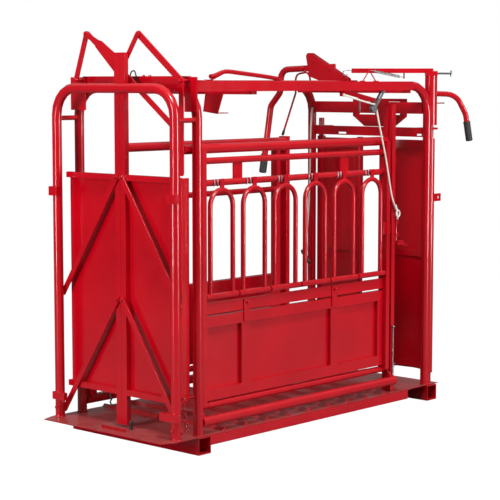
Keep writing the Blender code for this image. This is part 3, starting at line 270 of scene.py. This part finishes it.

# Skids and floor: square steel tube under a 4 mm plate with angle cleats, welded up and
# powder coated. The walked-on floor is duller, and its upward faces carry a pale film that
# is partly dust and partly a painted sheen.
def enamel(name, code, roughness, dust_and_sheen, scuff=0.0):
    """Red powder coat on steel: glossy, with orange peel, a soft tone change from piece
    to piece, and edges rubbed through to dull grey. Its peel is 2 mm across in life and
    is drawn at 5 mm so that it shows."""
    stuff, tree, out = empty_material(name)
    place = add(tree, "TexCoord").outputs["Object"]
    shape_of = add(tree, "NewGeometry")
    clouds = add(tree, "TexNoise", {"Vector": place, "Scale": 1 / 0.35, "Detail": 3.0})
    tone = add(tree, "MapRange", {"Value": clouds.outputs["Fac"], "From Min": 0.3, "From Max": 0.7,
                                  "To Min": 0.84, "To Max": 1.04})
    shade = add(tree, "Mix", {"Factor": 1.0, "A": linear(code), "B": tone.outputs["Result"]},
                data_type="RGBA", blend_type="MULTIPLY")
    grain = add(tree, "TexNoise", {"Vector": place, "Scale": 1 / 0.012, "Detail": 4.0, "Roughness": 0.65})
    eased = add(tree, "Bevel", {"Radius": 0.0025}, samples=4)
    bend = add(tree, "VectorMath", {0: eased.outputs["Normal"], 1: shape_of.outputs["Normal"]},
               operation="DOT_PRODUCT")
    edge = add(tree, "MapRange", {"Value": bend.outputs["Value"], "From Min": 0.985, "From Max": 0.90})
    chip = add(tree, "MapRange", {"Value": grain.outputs["Fac"], "From Min": 0.60, "From Max": 0.70})
    rubbed = add(tree, "Math", {0: edge.outputs["Result"], 1: chip.outputs["Result"]}, operation="MULTIPLY")
    worn = add(tree, "Mix", {"Factor": rubbed.outputs["Value"], "A": shade.outputs["Result"],
                             "B": linear("#6a5c5c")}, data_type="RGBA")
    # Faces turned up are mixed in patches towards a pale pinkish film: partly dust, partly a painted sheen
    # that lightens the tops.
    facing = add(tree, "SeparateXYZ", {"Vector": shape_of.outputs["Normal"]})
    upward = add(tree, "MapRange", {"Value": facing.outputs["Z"], "From Min": 0.55, "From Max": 0.95,
                                    "To Min": 0.0, "To Max": dust_and_sheen})
    film = add(tree, "TexNoise", {"Vector": place, "Scale": 1 / 0.09, "Detail": 6.0, "Roughness": 0.7})
    dust_and_sheen_mask = add(tree, "Math", {0: upward.outputs["Result"], 1: film.outputs["Fac"]}, operation="MULTIPLY")
    dust_and_sheen_mixed = add(tree, "Mix", {"Factor": dust_and_sheen_mask.outputs["Value"], "A": worn.outputs["Result"],
                              "B": linear("#b59a92")}, data_type="RGBA")
    streak_place = add(tree, "Mapping", {"Vector": place, "Scale": (1.0, 6.0, 6.0)})
    streaks = add(tree, "TexNoise", {"Vector": streak_place.outputs["Vector"], "Scale": 1 / 0.04,
                                     "Detail": 5.0})
    scrape = add(tree, "MapRange", {"Value": streaks.outputs["Fac"], "From Min": 0.60, "From Max": 0.72,
                                    "To Min": 0.0, "To Max": scuff})
    scraped = add(tree, "Mix", {"Factor": scrape.outputs["Result"], "A": dust_and_sheen_mixed.outputs["Result"],
                                "B": linear("#6a5654")}, data_type="RGBA")
    peel = add(tree, "TexNoise", {"Vector": place, "Scale": 1 / 0.005, "Detail": 1.0})
    bump = add(tree, "Bump", {"Height": peel.outputs["Fac"], "Strength": 0.12, "Distance": 0.0006})
    gloss = add(tree, "MapRange", {"Value": film.outputs["Fac"], "From Min": 0.3, "From Max": 0.7,
                                   "To Min": roughness - 0.05, "To Max": roughness + 0.07})
    dull = add(tree, "Math", {0: gloss.outputs["Result"], 1: dust_and_sheen_mask.outputs["Value"]}, operation="ADD")
    coat = add(tree, "BsdfPrincipled", {"Base Color": scraped.outputs["Result"],
                                        "Roughness": dull.outputs["Value"], "IOR": 1.5,
                                        "Coat Weight": 0.35, "Coat Roughness": 0.05,
                                        "Normal": bump.outputs["Normal"]})
    tree.links.new(coat.outputs["BSDF"], out.inputs["Surface"])
    return stuff


def dress(stuff, edge, *names):
    """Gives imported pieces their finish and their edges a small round."""
    for name in names:
        piece = frame["nodes"][name]
        for old in ("custom_normal", "sharp_edge", "sharp_face"):
            if old in piece.data.attributes:
                piece.data.attributes.remove(piece.data.attributes[old])
        piece.data.shade_smooth()
        for place in piece.material_slots:
            place.material = stuff
        weld = piece.modifiers.new("weld", "WELD")
        weld.merge_threshold = 0.00002
        flats = piece.modifiers.new("flats", "DECIMATE")
        flats.decimate_type = "DISSOLVE"
        flats.angle_limit = math.radians(0.5)
        round_over = piece.modifiers.new("round_over", "BEVEL")
        round_over.width = edge
        round_over.segments = 2
        round_over.limit_method = "ANGLE"
        round_over.angle_limit = math.radians(40)
        round_over.use_clamp_overlap = True
        shading = piece.modifiers.new("shading", "WEIGHTED_NORMAL")
        shading.weight = 100


ENAMEL_RED = "#be0217"
frame_red = enamel("enamel_frame", ENAMEL_RED, 0.20, 0.05)
# The floor's pale film on its upward faces is strong: dust with a painted sheen.
floor_red = enamel("enamel_floor", "#a80616", 0.26, 0.30, 0.25)
dress(frame_red, 0.0015, "tail_skid", "head_skid", "side_rail_near", "side_rail_far")
dress(floor_red, 0.0008, "floor_deck")


def bead_ring(centre, axis, radius, count=40):
    """Points round an axis, such as those of a weld that runs round a tube's foot."""
    axis = Vector(axis).normalized()
    side = axis.orthogonal().normalized()
    other = axis.cross(side)
    turns = [math.tau * k / count for k in range(count)]
    return [centre + (side * math.cos(turn) + other * math.sin(turn)) * radius for turn in turns]


def ripple(i):
    """A weld bead's radius as it was laid, drop by drop."""
    return (0.85, 1.12, 1.0)[i % 3]


LEG_Y = 0.437
TUBE_R = 0.0254
INNER_X = 0.155
HEAD_X = 2.051
BEAD_R = 0.0028
feet = [bead_ring(at(x, sign * LEG_Y, 0.0020), (0, 0, 1), TUBE_R + 0.0008)
        for x in (0.0, INNER_X, HEAD_X) for sign in (-1, 1)]
rods("foot_welds", frame_red, BEAD_R, feet, "frame", closed=True, swell=ripple)

# Arches, top rails and legs: two-inch tube bent into hoops, square rails between them,
# and flat side posts at the head, all welded and coated as one frame.
dress(frame_red, 0.0015, "tail_arch", "inner_arch", "side_hoop_near", "side_hoop_far", "base_tube_near",
      "base_tube_far", "side_post_near", "side_post_far", "shaft_beam_tail", "shaft_beam_head")
TIE_H = 1.580
TIE_R = 0.0140
FINE_BEAD_R = 0.0022
ties = [bead_ring(at(x, sign * LEG_Y, TIE_H), (1, 0, 0), TIE_R)
        for x in (TUBE_R - 0.001, INNER_X - TUBE_R + 0.001) for sign in (-1, 1)]
rods("tie_welds", frame_red, FINE_BEAD_R, ties, "frame", closed=True, swell=ripple)


def hex_bolts(name, stuff, body, spots):
    """Hexagon heads with washers: each spot is a point on the face, the way out and the
    width across the head. Washer, head, its chamfer and the bolt's end are each given by
    their sides, two radii and thickness, in widths of the head."""
    shape = bmesh.new()
    for place, out, width in spots:
        out = Vector(out).normalized()
        turn = out.to_track_quat("Z", "Y").to_matrix().to_4x4()
        low = 0.0
        for sides, base, top, thick in ((28, 0.588, 0.588, 0.10), (6, 0.577, 0.577, 0.28),
                                        (6, 0.577, 0.50, 0.05), (14, 0.28, 0.25, 0.06)):
            seat = Matrix.Translation(Vector(place) + out * (low + thick / 2) * width) @ turn
            bmesh.ops.create_cone(shape, cap_ends=True, segments=sides, radius1=base * width,
                                  radius2=top * width, depth=thick * width, matrix=seat)
            low += thick
    mesh = bpy.data.meshes.new(name)
    shape.to_mesh(mesh)
    shape.free()
    mesh.materials.append(stuff)
    return show(bpy.data.objects.new(name, mesh), body)


hex_bolts("leg_bolts", frame_red, "frame",
          [(at(-TUBE_R, sign * LEG_Y, 0.052), (-1, 0, 0), 0.016) for sign in (-1, 1)]
          + [(at(0.150, y, 1.7964), (0, 0, 1), 0.013) for y in (-0.065, -0.109)])

# Tail gate: two flat-bar framed leaves with flanged sheets, hung on crossed parallel arms
# and drawn apart by the cranks over the arch.
gate_red = enamel("enamel_gate", ENAMEL_RED, 0.19, 0.04)
dress(gate_red, 0.0012, "tail_door_near", "tail_door_far", "tail_sheet_near", "tail_sheet_far",
      "arm_near_lower", "arm_near_upper", "arm_far_lower", "arm_far_upper")
drive_red = enamel("enamel_drive", ENAMEL_RED, 0.20, 0.05)
dress(drive_red, 0.0010, "tail_lever", "far_crank", "near_link", "far_link", "cross_link")
ARM_RISE = 0.625
LEAF_PIVOT_X = 0.0225
LEG_PIVOT_X = 0.0285
LINK_FACE_X = 0.070
for side, sign in (("near", -1), ("far", 1)):
    for level, low in (("lower", 0.035), ("upper", 0.660)):
        hex_bolts("pivot_bolts_%s_%s" % (side, level), gate_red, "arm_%s_%s" % (side, level),
                  [(at(LEAF_PIVOT_X, sign * 0.020, low + ARM_RISE), (-1, 0, 0), 0.013),
                   (at(LEG_PIVOT_X, sign * LEG_Y, low), (-1, 0, 0), 0.014)])
hex_bolts("lever_pivot_bolt", drive_red, "tail_lever",
          [(at(0.069, -0.402, 1.772), (-1, 0, 0), 0.016)])
hex_bolts("crank_pivot_bolt", drive_red, "far_crank",
          [(at(0.085, 0.374, 1.777), (1, 0, 0), 0.016)])
hex_bolts("near_link_bolts", drive_red, "near_link",
          [(at(LINK_FACE_X, -0.102, 2.006), (-1, 0, 0), 0.013),
           (at(LINK_FACE_X, -0.022, 1.889), (-1, 0, 0), 0.011)])
hex_bolts("far_link_bolts", drive_red, "far_link",
          [(at(LINK_FACE_X, 0.289, 2.013), (-1, 0, 0), 0.013),
           (at(LINK_FACE_X, 0.175, 1.960), (-1, 0, 0), 0.011)])

# Loose iron of the gate: a black wire hook on the far stile, a rubber buffer on the
# floor, a black cable round the crossbar and a short welded chain that hangs from a pin
# on the near inner leg.
def black_vinyl(name, code, roughness):
    """Moulded black vinyl: deep grey, soft shine, faint mottling 8 mm across and a fine
    pebbled skin of 1 mm, drawn at 2 mm."""
    stuff, tree, out = empty_material(name)
    place = add(tree, "TexCoord").outputs["Object"]
    mottle = add(tree, "TexNoise", {"Vector": place, "Scale": 1 / 0.008, "Detail": 3.0})
    tone = add(tree, "Mix", {"Factor": mottle.outputs["Fac"], "A": linear(code), "B": linear("#2e2c2d")},
               data_type="RGBA")
    skin = add(tree, "TexNoise", {"Vector": place, "Scale": 1 / 0.002, "Detail": 2.0})
    bump = add(tree, "Bump", {"Height": skin.outputs["Fac"], "Strength": 0.3, "Distance": 0.0004})
    gloss = add(tree, "MapRange", {"Value": mottle.outputs["Fac"], "To Min": roughness - 0.06,
                                   "To Max": roughness + 0.08})
    rubber = add(tree, "BsdfPrincipled", {"Base Color": tone.outputs["Result"],
                                          "Roughness": gloss.outputs["Result"], "IOR": 1.5,
                                          "Normal": bump.outputs["Normal"]})
    tree.links.new(rubber.outputs["BSDF"], out.inputs["Surface"])
    return stuff


black = black_vinyl("vinyl_black", "#1b1a1b", 0.48)
HOOK_X = 0.0540
hook_bends = ((0.046, 0.168), (0.080, 0.166), (0.102, 0.150), (0.092, 0.132), (0.103, 0.112),
              (0.084, 0.096), (0.068, 0.102))
hook = smooth_line([(HOOK_X, y, h) for y, h in hook_bends], 0.005)
rods("gate_hook", black, 0.0040, [[at(*p) for p in hook]], "tail_leaf_far")
buffer_line = [at(0.026, -0.084, h) for h in (0.0005, 0.004, 0.012, 0.024, 0.030, 0.037, 0.042, 0.0445)]
rods("floor_buffer", black, 0.011, [buffer_line], "frame",
     swell=lambda i: (0.95, 1.0, 0.82, 0.72, 0.92, 1.0, 0.80, 0.35)[i], fineness=5)
cable = smooth_line([(0.1335, -0.030, 1.768), (0.1280, -0.032, 1.795), (0.1290, -0.022, 1.818),
                     (0.1330, -0.008, 1.824), (0.1290, 0.006, 1.816), (0.1280, 0.012, 1.793),
                     (0.1335, 0.010, 1.770)], 0.004)
rods("crossbar_cable", black, 0.0035, [[at(*p) for p in cable]], "frame")


def chain_links(start, end, count, wire):
    """Closed links from one point to another, every second one turned a quarter."""
    along = (end - start) / count
    side = along.orthogonal().normalized()
    other = along.normalized().cross(side)
    links = []
    for k in range(count):
        across = side if k % 2 else other
        middle = start + along * (k + 0.5)
        reach = along.length / 2 + wire * 0.95
        links.append([middle + along.normalized() * math.cos(math.tau * j / 20) * reach
                      + across * math.sin(math.tau * j / 20) * wire * 3.0 for j in range(20)])
    return links


CHAIN_X = 0.0490
CHAIN_WIRE = 0.0024
links = chain_links(at(CHAIN_X, -LEG_Y, 0.205), at(0.078, -LEG_Y, 0.030), 11, CHAIN_WIRE)
rods("leg_chain", frame_red, CHAIN_WIRE, links, "frame", closed=True)
peg = [at(0.1300, -LEG_Y, 0.203), at(CHAIN_X, -LEG_Y, 0.203), at(0.0460, -LEG_Y, 0.209)]
rods("chain_pin", frame_red, 0.0035, [peg], "frame")

# Squeeze sides: each is a frame of tube rails between flat posts over a ribbed sheet. The
# near one hinges at the floor and carries six drop bars on a rod.
panel_red = enamel("enamel_panel", ENAMEL_RED, 0.19, 0.04)
dress(panel_red, 0.0012, "panel_frame_near", "panel_frame_far", "lower_panel_near", "lower_panel_far",
      "turn_strap_1", "turn_strap_2", *["drop_bar_%d" % k for k in range(1, 7)])
RAIL_Y = -0.400
panel_ends = [bead_ring(at(x, RAIL_Y, h), (1, 0, 0), 0.0178)
              for x in (0.2200, 1.6745) for h in (1.263, 1.374)]
rods("panel_welds", panel_red, FINE_BEAD_R, panel_ends, "squeeze_side", closed=True,
     swell=ripple)


def zinc_plate(name, roughness=0.30, code="#c9ccd0"):
    """Bright zinc plating on steel: silver, slightly blue, with a fine crystal change in
    its gloss and a dulled, greyer film in patches. The crystals are 3 mm."""
    stuff, tree, out = empty_material(name)
    place = add(tree, "TexCoord").outputs["Object"]
    crystals = add(tree, "TexVoronoi", {"Vector": place, "Scale": 1 / 0.003})
    film = add(tree, "TexNoise", {"Vector": place, "Scale": 1 / 0.02, "Detail": 4.0})
    tone = add(tree, "Mix", {"Factor": film.outputs["Fac"], "A": linear(code), "B": linear("#8e9196")},
               data_type="RGBA")
    gloss = add(tree, "MapRange", {"Value": crystals.outputs["Distance"], "From Max": 0.6,
                                   "To Min": roughness - 0.08, "To Max": roughness + 0.10})
    metal = add(tree, "BsdfPrincipled", {"Base Color": tone.outputs["Result"],
                                         "Roughness": gloss.outputs["Result"], "Metallic": 1.0})
    tree.links.new(metal.outputs["BSDF"], out.inputs["Surface"])
    return stuff


zinc = zinc_plate("zinc_bright")
CLIP_H = 1.262
clips = []
for k in range(1, 7):
    low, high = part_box("drop_bar_%d" % k)
    middle = (low.x + high.x) / 2 - ARCH_X
    for step, lean in ((-0.0450, -0.003), (-0.0210, 0.003)):
        x = middle + step
        clips.append(smooth_line([(x + lean, -0.4165, CLIP_H + 0.017), (x, -0.4195, CLIP_H + 0.012),
                                  (x, -0.4200, CLIP_H), (x, -0.4195, CLIP_H - 0.011),
                                  (x + lean, -0.4150, CLIP_H - 0.016)], 0.003))
rods("bar_clips", zinc, 0.0028, [[at(*p) for p in line] for line in clips], "squeeze_side")
for k, x in ((1, 0.533), (2, 1.240)):
    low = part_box("turn_strap_%d" % k)[0]
    hex_bolts("strap_bolt_%d" % k, panel_red, "turn_strap_%d" % k,
              [(at(x, low.y, 0.638), (0, -1, 0), 0.014)])

# Squeeze drive: the shaft along the top turns in two cross beams and pushes the near side
# in by a link, when the bent pipe handle on the far side is pulled down.
dress(drive_red, 0.0010, "squeeze_shaft", "squeeze_lever", "squeeze_link")
hump = smooth_line([(0.700, 0.0, 1.7960), (0.735, 0.0, 1.8015), (0.800, 0.0, 1.8200), (0.850, 0.0, 1.8225),
                    (0.960, 0.0, 1.8130), (1.120, 0.0, 1.7985), (1.235, 0.0, 1.7860)], 0.012)
rods("hump_bar", drive_red, 0.0120, [[at(*p) for p in hump]], "squeeze_drive", fineness=6)
dress(drive_red, 0.0005, "lock_rod")
rocker_spots = [(at(1.800, y, h), (-1, 0, 0), 0.013)
                for y, h in ((0.000, 1.757), (0.090, 1.842), (0.215, 1.888))]
hex_bolts("rocker_bolts", drive_red, "squeeze_drive", rocker_spots)
hex_bolts("link_bolts", drive_red, "squeeze_link",
          [(at(1.7100, -0.392, 1.645), (-1, 0, 0), 0.012)])


def ribbed_grip(name, node, body, end, back, radius, length):
    """A pulled-on grip with finger ribs, a collar at its top and a domed closed end."""
    steps = round(length / 0.002)
    route = [end - back * 0.010 + back * (k * (length + 0.010) / steps) for k in range(steps + 1)]

    def girth(i):
        if i < 3:
            return (0.55, 0.82, 0.94)[i]
        if i > steps - 4:
            return 1.0
        return 0.955 + 0.045 * math.cos(math.tau * i / 4)

    piece = rods(name, black, radius, [route], body, swell=girth, fineness=6)
    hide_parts(node)
    return piece


GRIP_LENGTH = 0.105
foot = at(1.814, 0.632, 1.222)
rise = (at(1.814, 0.566, 1.622) - foot).normalized()
ribbed_grip("squeeze_grip_ribbed", "squeeze_grip", "squeeze_drive", foot, rise, 0.0240, GRIP_LENGTH)
tip = at(1.950, 0.590, 1.443)
tip_back = (at(1.950, 0.484, 1.700) - tip).normalized()
cap_line = [tip + tip_back * reach for reach in (-0.003, 0.0, 0.026, 0.028)]
rods("lock_rod_cap", black, 0.0085, [cap_line], "frame",
     swell=lambda i: (0.7, 1.0, 1.0, 0.8)[i])

# Release: a pin in two guides on the near side post with a curved paddle, its latch
# plate, the prop rod below them, and the pulley that the rope runs over.
dress(drive_red, 0.0006, "release_pin")
pulley_steel = zinc_plate("zinc_grey", 0.42, "#77797d")
dress(pulley_steel, 0.0005, "rope_pulley")
hex_bolts("pulley_bolt", zinc, "frame",
          [(at(SHEAVE[0], -0.4575, SHEAVE[1]), (0, -1, 0), 0.009)])


def plate(name, stuff, body, outline, thick, edge):
    """A flat plate from its outline and the vector of its thickness, with eased edges."""
    shape = bmesh.new()
    face = shape.faces.new([shape.verts.new(p) for p in outline])
    grown = bmesh.ops.extrude_face_region(shape, geom=[face])
    lifted = [v for v in grown["geom"] if isinstance(v, bmesh.types.BMVert)]
    bmesh.ops.translate(shape, vec=thick, verts=lifted)
    bmesh.ops.recalc_face_normals(shape, faces=shape.faces)
    mesh = bpy.data.meshes.new(name)
    shape.to_mesh(mesh)
    shape.free()
    mesh.materials.append(stuff)
    piece = bpy.data.objects.new(name, mesh)
    eased = piece.modifiers.new("eased", "BEVEL")
    eased.width = edge
    eased.segments = 2
    return show(piece, body)


paddle = [(1.779, 0.848), (1.790, 0.862), (1.812, 0.868), (1.836, 0.864), (1.858, 0.850),
          (1.879, 0.834), (1.870, 0.831), (1.848, 0.834), (1.826, 0.841), (1.800, 0.841)]
plate("release_paddle", drive_red, "release_pin", [at(x, -0.4300, h) for x, h in paddle],
      Vector((0, -0.005, 0)), 0.0010)
catch = [(1.655, 0.909), (1.719, 0.909), (1.719, 0.960), (1.698, 0.981), (1.655, 0.981)]
plate("latch_plate", panel_red, "squeeze_side", [at(x, -0.4303, h) for x, h in catch],
      Vector((0, -0.004, 0)), 0.0008)
rod_zinc = zinc_plate("zinc_dull", 0.38, "#a9abae")
PROP_X = 1.748
PROP_Y = -0.4345
PROP_TOP = 0.366
prop = [at(PROP_X, PROP_Y, h) for h in (0.095, 0.110, 0.200, 0.300, PROP_TOP)]
rods("post_rod", rod_zinc, 0.0042, [prop], "frame")
knob = [at(PROP_X, -0.4385, PROP_TOP + 0.0017 * k) for k in range(11)]
rods("post_rod_ball", rod_zinc, 0.0085, [knob], "frame",
     swell=lambda i: math.sqrt(max(0.02, 1 - ((i - 5) / 5) ** 2)), fineness=5)
split_rings = [bead_ring(at(PROP_X, PROP_Y, h), (0, 0, 1), 0.0052, 20) for h in (0.229, 0.237)]
split_rings.append(bead_ring(at(1.760, PROP_Y, 0.150), (0, 1, 0.2), 0.0120, 24))
rods("post_rod_clips", rod_zinc, 0.0018, split_rings, "frame", closed=True)

# Head gate: full-height bowed doors with neck tubes, hung on round posts under two beams,
# a channel lever on a sleeve, and two springs that help it home.
dress(frame_red, 0.0012, "header_beam", "lower_header", "yoke_plate", "head_post_near", "head_post_far")
dress(gate_red, 0.0010, "head_door_near", "head_door_far")
dress(drive_red, 0.0010, "head_lever")
plate("header_strip", zinc, "frame",
      [at(2.0297, y, h) for y, h in ((0.039, 1.590), (0.051, 1.590), (0.051, 1.652), (0.039, 1.652))],
      Vector((-0.003, 0, 0)), 0.0006)
LEVER_AIM = Vector((0.682, -0.731, 0)).normalized()
SPRING_SIDE = Vector((0.731, 0.682, 0)).normalized()
post_top = at(2.115, -0.415, 1.804)
spring_steel = zinc_plate("spring_steel", 0.26, "#b4b6ba")
SPRING_R = 0.0075
SPRING_WIRE_R = 0.0013
SPRING_LEAD = 0.020
SPRING_BOW = 0.0035
SPRING_TURNS = 18
SPRING_STEPS = SPRING_TURNS * 20
for k, offset in (("1", 0.036), ("2", 0.058)):
    start = post_top - LEVER_AIM * 0.360 - SPRING_SIDE * offset + Vector((0, 0, 0.030))
    end = post_top - LEVER_AIM * 0.165 - SPRING_SIDE * offset + Vector((0, 0, -0.012))
    along = (end - start).normalized()
    side = along.cross(Vector((0, 0, 1))).normalized()
    other = along.cross(side)
    body_length = (end - start).length - 2 * SPRING_LEAD
    line = [start + along * (SPRING_LEAD * j / 8) + side * SPRING_BOW * math.sin(math.pi * j / 8)
            for j in range(8)]
    for j in range(SPRING_STEPS + 1):
        turn = math.tau * j / 20
        swell_in = min(1.0, j / 14, (SPRING_STEPS - j) / 14)
        reach = SPRING_LEAD + body_length * j / SPRING_STEPS
        round_it = (side * math.cos(turn) + other * math.sin(turn)) * SPRING_R * swell_in
        line.append(start + along * reach + round_it)
    line += [end - along * (SPRING_LEAD * (7 - j) / 8) + side * SPRING_BOW * math.sin(math.pi * j / 7)
             for j in range(8)]
    piece = rods("spring_%s_wound" % k, spring_steel, SPRING_WIRE_R, [line], "head_lever")
    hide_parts("spring_%s" % k)
channel_tip = post_top + Vector((0, 0, 0.030)) - LEVER_AIM * 0.462
hook_steps = ((0.050, 0.0), (-0.030, 0.0), (-0.048, -0.006), (-0.050, -0.020), (-0.038, -0.028),
              (-0.026, -0.022))
hook_line = [channel_tip + LEVER_AIM * ahead + Vector((0, 0, lift)) for ahead, lift in hook_steps]
rods("channel_hook", zinc, 0.0030, [smooth_line(hook_line, 0.004)], "head_lever")
STUD_Y = -0.437
STUD_H = 1.8160
STUD_END = 2.281
shank = [at(x, STUD_Y, STUD_H) for x in (2.138, 2.150, 2.270, STUD_END)]
tee = [at(STUD_END, STUD_Y, STUD_H + 0.009 * (k - 2)) for k in range(5)]
rods("cap_bolt", zinc, 0.0060, [shank, tee], "head_lever")
handle_start = at(2.115, -0.415, 1.699) + LEVER_AIM * 0.025
handle_end = handle_start + LEVER_AIM * 0.200 + Vector((0, 0, -0.265))
handle_back = (handle_start + LEVER_AIM * 0.178 + Vector((0, 0, -0.120)) - handle_end).normalized()
ribbed_grip("head_grip_ribbed", "head_grip", "head_lever", handle_end, handle_back, 0.0210, GRIP_LENGTH)

# Far release rope: the same laid polyester, tied to an eye bolt on the header. It hangs
# on the tail side of the far head leg and ends in a knot and a waisted black handle.
FAR_X = 1.990
far_stops = [(2.012, 0.402, 1.610), (2.003, 0.402, 1.536), (1.997, 0.403, 1.450), (1.991, 0.409, 1.046),
             (FAR_X, 0.427, 0.829), (FAR_X, 0.4315, 0.745)]
far_line = [at(*p) for p in smooth_line(far_stops, ROPE_STEP)]
far_rope = laid_rope("far_rope_laid", far_line, rope_stuff)
knot_line = coil(at(FAR_X, 0.4290, 0.772), at(FAR_X, 0.4320, 0.738), 0.0080, 5)
far_knot = rods("far_knot", rope_stuff, 0.0034, [knot_line], "frame")
HANDLE_GIRTH = (0.70, 0.95, 1.0, 0.90, 0.84, 0.82, 0.82, 0.82, 0.84, 0.90, 1.0, 0.95, 0.70)
far_handle_line = [at(FAR_X, 0.464 - 0.064 * k / 12, 0.733 - 0.076 * k / 12) for k in range(13)]
far_handle = rods("far_rope_handle", black, 0.0130, [far_handle_line], "frame",
                  swell=lambda i: HANDLE_GIRTH[i], fineness=5)
eye_bolt = [at(2.0300, 0.402, 1.6120), at(2.0160, 0.402, 1.6120), at(2.0080, 0.402, 1.6080)]
rods("far_rope_eye_bolt", zinc, 0.0030, [eye_bolt], "frame")
far_length = sum((q - p).length for p, q in zip(far_line, far_line[1:]))
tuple(far_line[0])
[tuple(p) for p in far_line]

# Studio: a white sweep under a pale sky dome, two upright strip lamps to the left and the
# right of the view, and a box high up between the camera and the machine.
SWEEP = 40
sweep_corners = [(x * SWEEP, y * SWEEP, 0) for x, y in ((-1, -1), (1, -1), (1, 1), (-1, 1))]
ground_mesh = bpy.data.meshes.new("studio_floor")
ground_mesh.from_pydata(sweep_corners, [], [(0, 1, 2, 3)])
ground_stuff, ground_tree, ground_out = empty_material("studio_floor")
rays = add(ground_tree, "LightPath")
seen = add(ground_tree, "Math", {0: rays.outputs["Is Camera Ray"], 1: rays.outputs["Is Transmission Ray"]},
           operation="MAXIMUM")
share = add(ground_tree, "Math", {0: seen.outputs["Value"], 1: 0.80}, operation="MULTIPLY")
paper = add(ground_tree, "BsdfDiffuse", {"Color": linear("#7e7e7e")})
glow = add(ground_tree, "Emission", {"Color": (1.0, 1.0, 1.0, 1.0), "Strength": 1.26})
sweep = add(ground_tree, "MixShader", {"Fac": share.outputs["Value"], 1: paper.outputs["BSDF"],
                                       2: glow.outputs["Emission"]})
ground_tree.links.new(sweep.outputs["Shader"], ground_out.inputs["Surface"])
ground_mesh.materials.append(ground_stuff)
ground = bpy.data.objects.new("studio_floor", ground_mesh)
bpy.context.scene.collection.objects.link(ground)

world = bpy.data.worlds.new("studio")
bpy.context.scene.world = world
world.use_nodes = True
sky_tree = world.node_tree
sky_tree.nodes.clear()
sky_rays = add(sky_tree, "LightPath")
mirrored = add(sky_tree, "Math", {0: sky_rays.outputs["Is Glossy Ray"], 1: 0.12}, operation="MULTIPLY")
behind = add(sky_tree, "Math", {0: sky_rays.outputs["Is Camera Ray"],
                                1: sky_rays.outputs["Is Transmission Ray"]}, operation="MAXIMUM")
share_of = add(sky_tree, "Math", {0: behind.outputs["Value"], 1: mirrored.outputs["Value"]},
               operation="MAXIMUM")
place = add(sky_tree, "TexCoord").outputs["Generated"]
height = add(sky_tree, "SeparateXYZ", {"Vector": place}).outputs["Z"]
room = add(sky_tree, "MapRange", {"Value": height, "From Min": 0.05, "From Max": 0.95, "To Min": 0.03,
                                  "To Max": 0.42}, interpolation_type="SMOOTHSTEP")
strength = add(sky_tree, "Mix", {"Factor": share_of.outputs["Value"], "A": room.outputs["Result"], "B": 1.0},
               data_type="FLOAT")
sky = add(sky_tree, "Background", {"Color": (1.0, 1.0, 1.0, 1.0), "Strength": strength.outputs["Result"]})
sky_out = add(sky_tree, "OutputWorld")
sky_tree.links.new(sky.outputs["Background"], sky_out.inputs["Surface"])


def lamp(name, place, target, width, height, power):
    """A rectangular lamp that points at a target and keeps its height upright."""
    light = bpy.data.lights.new(name, "AREA")
    light.shape = "RECTANGLE"
    light.size = width
    light.size_y = height
    light.energy = power
    box = bpy.data.objects.new(name, light)
    box.location = place
    box.rotation_mode = "QUATERNION"
    box.rotation_quaternion = (Vector(target) - Vector(place)).to_track_quat("-Z", "Y")
    bpy.context.scene.collection.objects.link(box)


lamp("left_strip", (-5.6, 0.4, 2.0), (0.3, 0.0, 0.9), 0.50, 3.6, 262)
lamp("front_strip", (2.6, -6.0, 2.0), (0.9, 0.0, 0.9), 0.50, 3.6, 268)
lamp("top_box", (-1.2, -2.4, 5.4), (0.9, 0.0, 0.9), 1.2, 1.2, 200)
bpy.context.scene.view_settings.view_transform = "Standard"
